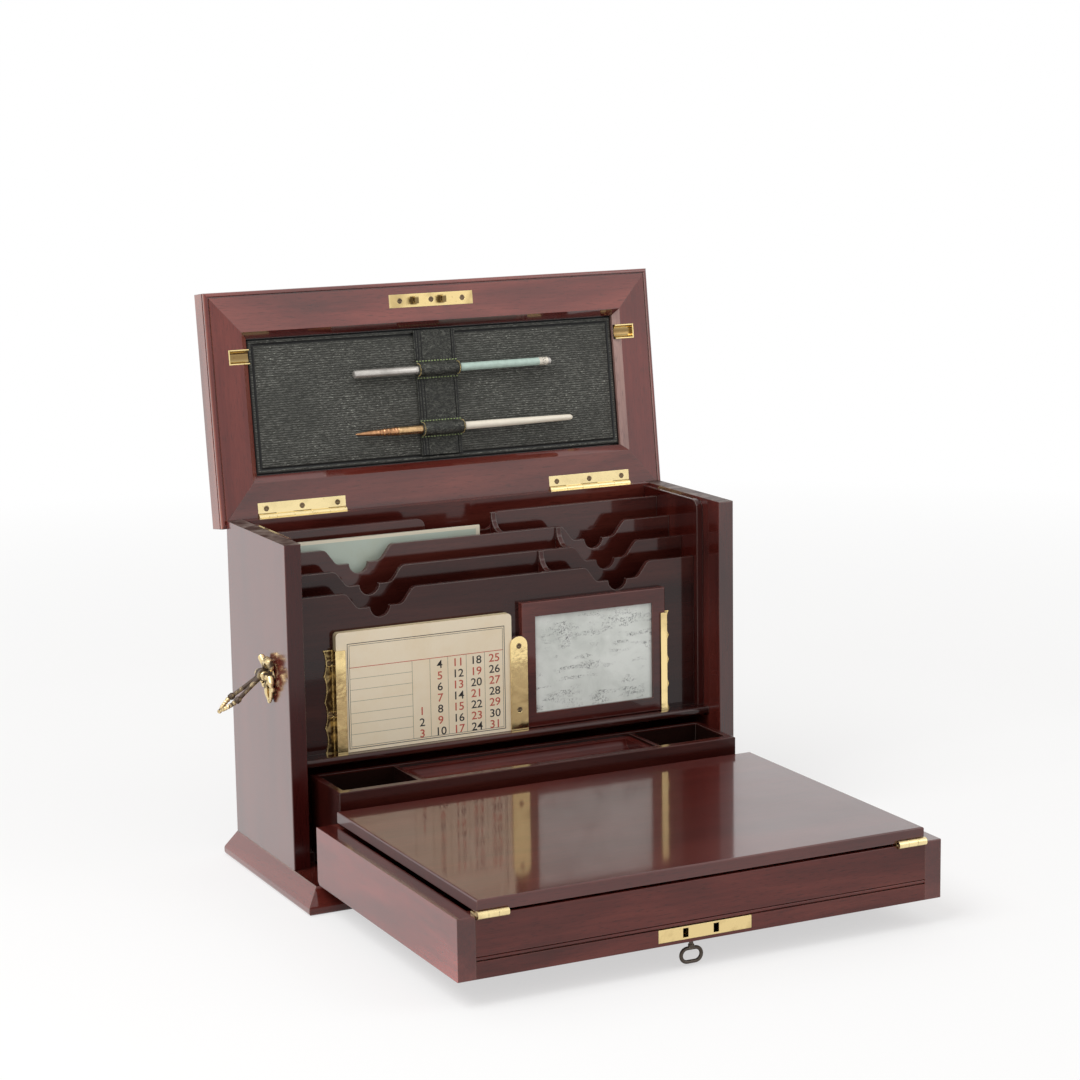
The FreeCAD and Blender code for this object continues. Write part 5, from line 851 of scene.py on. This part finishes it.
def make_mounts():
    """Cast mounts: a cartouche with curled lobes above, a ridged leaf below, and ears that hold the pin."""
    shapes = [blob((1.4, 0, 0), (1.7, 8.6, 9.0)), blob((3.0, 0, 4.5), (2.6, 5.6, 6.0))]
    curls = (
        # crest lobes at front and back, and the crest between them
        (((2.2, -1, 3), (3.6, -3.0, 8.5), (4.4, -5.6, 11.6), (3.8, -8.4, 10.6), (3.0, -9.2, 7.0),
          (2.4, -7.8, 4.0)), (2.0, 2.3, 2.4, 2.2, 1.9, 1.3)),
        (((2.2, 1, 3), (3.6, 3.0, 8.5), (4.2, 5.2, 11.8), (3.4, 7.8, 11.2), (2.6, 8.6, 8.0)),
         (1.8, 2.0, 2.1, 1.8, 1.3)),
        (((3.2, 0, 2), (5.6, 0, 6.5), (5.0, 0, 10.4), (3.0, 0, 12.8)), (2.2, 1.9, 1.7, 1.1)),
        # side scrolls
        (((2.0, 3, -2), (3.4, 8.0, -2.4), (3.4, 9.6, -5.4), (2.8, 8.0, -8.0)), (2.0, 2.0, 1.8, 1.3)),
        (((2.0, -3, -2), (3.4, -8.0, -2.0), (3.6, -9.8, -4.8), (3.0, -8.4, -7.6)), (2.0, 2.1, 1.9, 1.4)),
        # leaf: midrib and two folded edges with hollows between
        (((2.4, 0, -4), (4.6, 0, -9), (4.2, 0, -15), (2.6, 0, -20.6)), (2.4, 1.9, 1.5, 1.1)),
        (((1.6, -3.0, -7), (2.8, -5.2, -11.5), (2.8, -4.4, -16), (2.0, -1.2, -20.6)), (1.6, 1.6, 1.4, 1.0)),
        (((1.6, 3.0, -7), (2.8, 5.2, -11.5), (2.8, 4.4, -16), (2.0, 1.2, -20.6)), (1.6, 1.6, 1.4, 1.0)),
    )
    bold = (0, 1, 3, 4)  # the crest lobes and the side scrolls
    for order, (spots, radii) in enumerate(curls):
        stand = 1.3 if order in bold else 1.0
        spots = [(u * stand, v * 1.06, w) for u, v, w in spots]
        shapes.append(tube(spots, [radius * stand for radius in radii]))
    shapes += [blob((3.2, -8.8, -10.2), (2.2, 2.2, 2.2)), blob((3.0, 8.4, -10.0), (1.9, 1.9, 1.9)),
               blob((0.8, 0, -12), (0.9, 4.6, 8.4)), blob((2.4, 0, -20.8), (1.6, 1.6, 1.6))]
    for ear in (-5.4, 5.4):
        eye = [(PIN_OUT, ear + step, 0) for step in (-1.5, -1.1, 1.1, 1.5)]
        shapes.append(tube(eye, (2.9, 3.5, 3.5, 2.9), 20))
        shapes.append(tube([(0.3, ear, 0), (3.0, ear, 0), (PIN_OUT, ear, 0)], (2.6, 2.1, 1.8), 12, 1.6))
    shapes.append(tube([(PIN_OUT, -6.9, 0), (PIN_OUT, 6.9, 0)], (1.4, 1.4), 16))
    points, faces = join(*shapes)
    out, y, z = PIN
    both = join(*(([(side * (out + 0.05 + u), y + v, z + w) for u, v, w in points], faces) for side in (-1, 1)))
    piece = make_piece("cast_mounts", *both, GILT, "case", "cast_brass")
    cast_skin(piece, 0.00036, 3)
    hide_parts("handle_mounts")


def make_bail(side, sign, angle):
    """A bail of two tapered arms that end in barrel collars, and a ringed tip below them."""
    out, y, z = PIN
    pin = Vector((sign * (out + PIN_OUT), y, z)) * MM
    place = Matrix.Translation(pin) @ Matrix.Rotation(math.radians(angle), 4, "Y")
    arms = [tube([(0, step, 0) for step in (-3.4, -2.8, 0, 2.8, 3.4)], (3.8, 4.5, 4.2, 4.5, 3.8), 24)]
    ends = []

    def limb(way, *stations):
        return tube([(0, way * y, -drop) for y, drop, _ in stations], [radius for _, _, radius in stations])

    for way in (-1, 1):
        arms += [limb(way, (0.8, 2.0, 2.3), (1.9, 6, 2.0), (3.2, 12, 1.75), (5.0, 19, 1.6), (6.5, 25, 1.6)),
                 limb(way, (6.5, 24.6, 1.8), (6.6, 25.2, 2.5), (6.7, 28.2, 2.5), (6.6, 28.8, 1.8))]
        ends += [blob((0, way * 6.4, -30.2), (2.0, 2.0, 1.8)),
                 limb(way, (6.1, 31.2, 1.4), (5.4, 33.0, 1.8), (5.0, 33.8, 1.4), (4.4, 35.0, 1.8),
                      (3.9, 35.8, 1.4), (3.2, 37.0, 1.7), (2.6, 37.9, 1.4), (1.7, 39.2, 1.5))]
    ends += [blob((0, 0, -40.0), (1.5, 2.2, 1.4)), blob((0, 0, -41.3), (1.7, 1.7, 1.6))]
    body = f"{side}_bail"
    dark = make_piece(f"{side}_bail_arms", *join(*arms), BROWNED, body, "cast_brass", place)
    bright = make_piece(f"{side}_bail_ends", *join(*ends), GILT, body, "cast_brass", place)
    for piece in (dark, bright):
        cast_skin(piece, 0.00032, 2)
        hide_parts(body)


def make_sockets():
    """The sockets for the board's knuckles: half-round channels with a closed outer end."""
    near, far, mouth, end, wall, face, back = 116.0, 127.3, 156.0, 172.4, 0.9, 0.1, 4.4
    middle, reach, depth = (near + far) / 2, (far - near) / 2 - wall, back - wall - face
    arc = [(middle + reach * math.cos(turn), face + depth * math.sin(turn))
           for turn in (math.pi * step / 14 for step in range(15))]
    profile = [(near, back), (far, back), (far, face), *arc, (near, face)]
    shapes = []
    for side in (-1, 1):
        for start, stop, line in ((mouth, end - wall, profile), (end - wall, end, [*profile[:3], profile[-1]])):
            points = [(side * x, -s, n) for x in (start, stop) for s, n in line]
            count = len(line)
            faces = [(spot, after, count + after, count + spot)
                     for spot, after in enumerate([*range(1, count), 0])]
            faces += [tuple(range(count)), tuple(range(2 * count - 1, count - 1, -1))]
            shapes.append((points, faces))
    piece = make_piece("channel_sockets", *join(*shapes), SOCKET, "lid", "brass", LID, 40)
    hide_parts("knuckle_sockets")


PRINT_FACE = -7.6  # the Y of the calendar's face
PRINT_HIGH = 0.04  # half the thickness of the print


def strip(low, high):
    """A thin printed line on the calendar's face, from one corner to the other."""
    front, back = ([[(x, PRINT_FACE + rise, z) for x in (low[0], high[0])] for z in (low[1], high[1])]
                   for rise in (-PRINT_HIGH, PRINT_HIGH))
    return shell(front, back)


def numeral(text, x, z, tall):
    """Printed figures as a thin solid, centred on a spot of the card."""
    curve = bpy.data.curves.new("figures", "FONT")
    curve.body = text
    curve.align_x = curve.align_y = "CENTER"
    curve.size = tall * 1.38
    curve.extrude = PRINT_HIGH
    curve.offset = 0.07
    curve.space_character = 0.98
    curve.resolution_u = 3
    holder = link("figures", curve)
    mesh = baked(holder)
    points = [(x + spot.co.x * 1.1, PRINT_FACE - spot.co.z, z + spot.co.y) for spot in mesh.vertices]
    faces = [tuple(face.vertices) for face in mesh.polygons]
    bpy.data.objects.remove(holder)
    bpy.data.curves.remove(curve)
    return points, faces


def make_calendar_print():
    """Borders, ruled lines and plain day numbers."""
    left, right, low, high, rule = -129.3, -1.0, 95.5, 175.4, 157.0
    dark = []
    for inset, wide in ((0.0, 0.5), (1.5, 0.28)):
        x0, x1, z0, z1 = left + inset, right - inset, low + inset, high - inset
        dark += [strip((x0, z0), (x1, z0 + wide)), strip((x0, z1 - wide), (x1, z1)),
                 strip((x0, z0), (x0 + wide, z1)), strip((x1 - wide, z0), (x1, z1))]
    red = [strip((-128.0, rule - 0.25), (-2.4, rule + 0.25))]
    faint = [strip((x - 0.16, 96.9), (x + 0.16, rule)) for x in (-77.5, -63.0, -48.3, -33.1, -17.9)]
    faint += [strip((-127.8, z - 0.14), (-77.5, z + 0.14)) for z in (148.6, 140.1, 131.4, 122.4, 114.6, 106.4)]
    for day in range(1, 32):
        row, column = (day + 3) % 7, (day + 3) // 7
        x = (-70.2, -55.0, -40.0, -25.0, -9.8)[column]
        z = (151.4, 142.8, 134.3, 125.8, 117.2, 108.5, 100.0)[row]
        (red if day % 2 else dark).append(numeral(str(day), x, z, 6.3))
    for name, shapes, paint in (("black_printing", dark, BLACK_INK), ("red_printing", red, RED_INK),
                                ("faint_ruling", faint, FAINT_INK)):
        make_piece(name, *join(*shapes), paint, "calendar", "cream_card", crease=30)


make_leather_panel()
make_strap()
make_loops()
make_pencil()
make_penholder()
make_mounts()
make_bail("left", -1, 55.0)
make_bail("right", 1, 0.0)
make_sockets()
make_calendar_print()


# ---------------------------------------------------------------- floor, light and camera

AMBIENT = 0.62  # strength of the world's light on the object


def make_world():
    """A world that looks white, itself and in reflections, and lights the object less."""
    scene.world = bpy.data.worlds.new("studio")
    tree = Tree(scene.world)
    light, white = tree.glow("Background", AMBIENT, (1.0, 0.985, 0.965)), tree.glow("Background", 1.0)
    tree.wire(tree.blend(tree.seen(), light, white), tree.add("OutputWorld").inputs[0])


FLOOR_REACH = 12.0
FLOOR_FADE = (0.75, 1.8)  # metres from the middle between which the floor turns white
FLOOR_WHITE = 0.58  # how white it is nearer than that


def make_floor():
    """A pale floor that keeps the object's shadow and goes over into the white background."""
    mesh = bpy.data.meshes.new("floor")
    corners = ((-1, -1), (1, -1), (1, 1), (-1, 1))
    mesh.from_pydata([(x * FLOOR_REACH, y * FLOOR_REACH, 0) for x, y in corners], [], [(0, 1, 2, 3)])
    floor = link("floor", mesh)
    paint = Paint("pale_floor")
    _, far = paint.vector("LENGTH", paint.stretch((1, 1, 0)))
    away = paint.span(far, *FLOOR_FADE, FLOOR_WHITE, 1.0)
    paint.surface(Base_Color=(0.92, 0.92, 0.92, 1), Roughness=0.9, Specular_IOR_Level=0.1)
    share = paint.times(paint.seen(), away)
    mixed = paint.blend(share, paint.shader.outputs[0], paint.glow("Emission", 1.0))
    paint.wire(mixed, paint.output.inputs[0])
    mesh.materials.append(paint.material)


def soft_box(name, place, target, size, watts):
    """A square lamp that shines at a target."""
    data = bpy.data.lights.new(name, "AREA")
    data.shape = "SQUARE"
    data.size = size
    data.energy = watts
    lamp = link(name, data)
    lamp.location = place
    lamp.rotation_euler = (Vector(target) - Vector(place)).to_track_quat("-Z", "Y").to_euler()


FOCAL_LENGTH = 92.18  # millimetres, on a sensor 36 mm wide
VIEW_FROM = (-0.87577, -1.85518, 0.61201)
VIEW_TURN = Vector((1.71268031, -0.41156566, 0.32100112))  # axis times angle


def make_camera():
    """The photograph's viewpoint, as solved from it."""
    data = bpy.data.cameras.new("view")
    data.sensor_width = 36.0
    data.lens = FOCAL_LENGTH
    data.clip_end = 100.0
    camera = link("view", data)
    right, down, forward = Matrix.Rotation(VIEW_TURN.length, 3, VIEW_TURN.normalized())
    columns = Matrix((right, -down, -forward)).transposed().to_4x4()
    camera.matrix_world = Matrix.Translation(VIEW_FROM) @ columns
    bpy.context.scene.camera = camera


make_world()
make_floor()
MIDDLE = (0.0, -0.1, 0.15)
soft_box("key_light", (-1.5, -0.6, 2.3), MIDDLE, size=1.6, watts=38)
soft_box("fill_light", (1.9, -1.6, 1.5), MIDDLE, size=1.6, watts=10)
make_camera()
scene.view_settings.view_transform = "Standard"
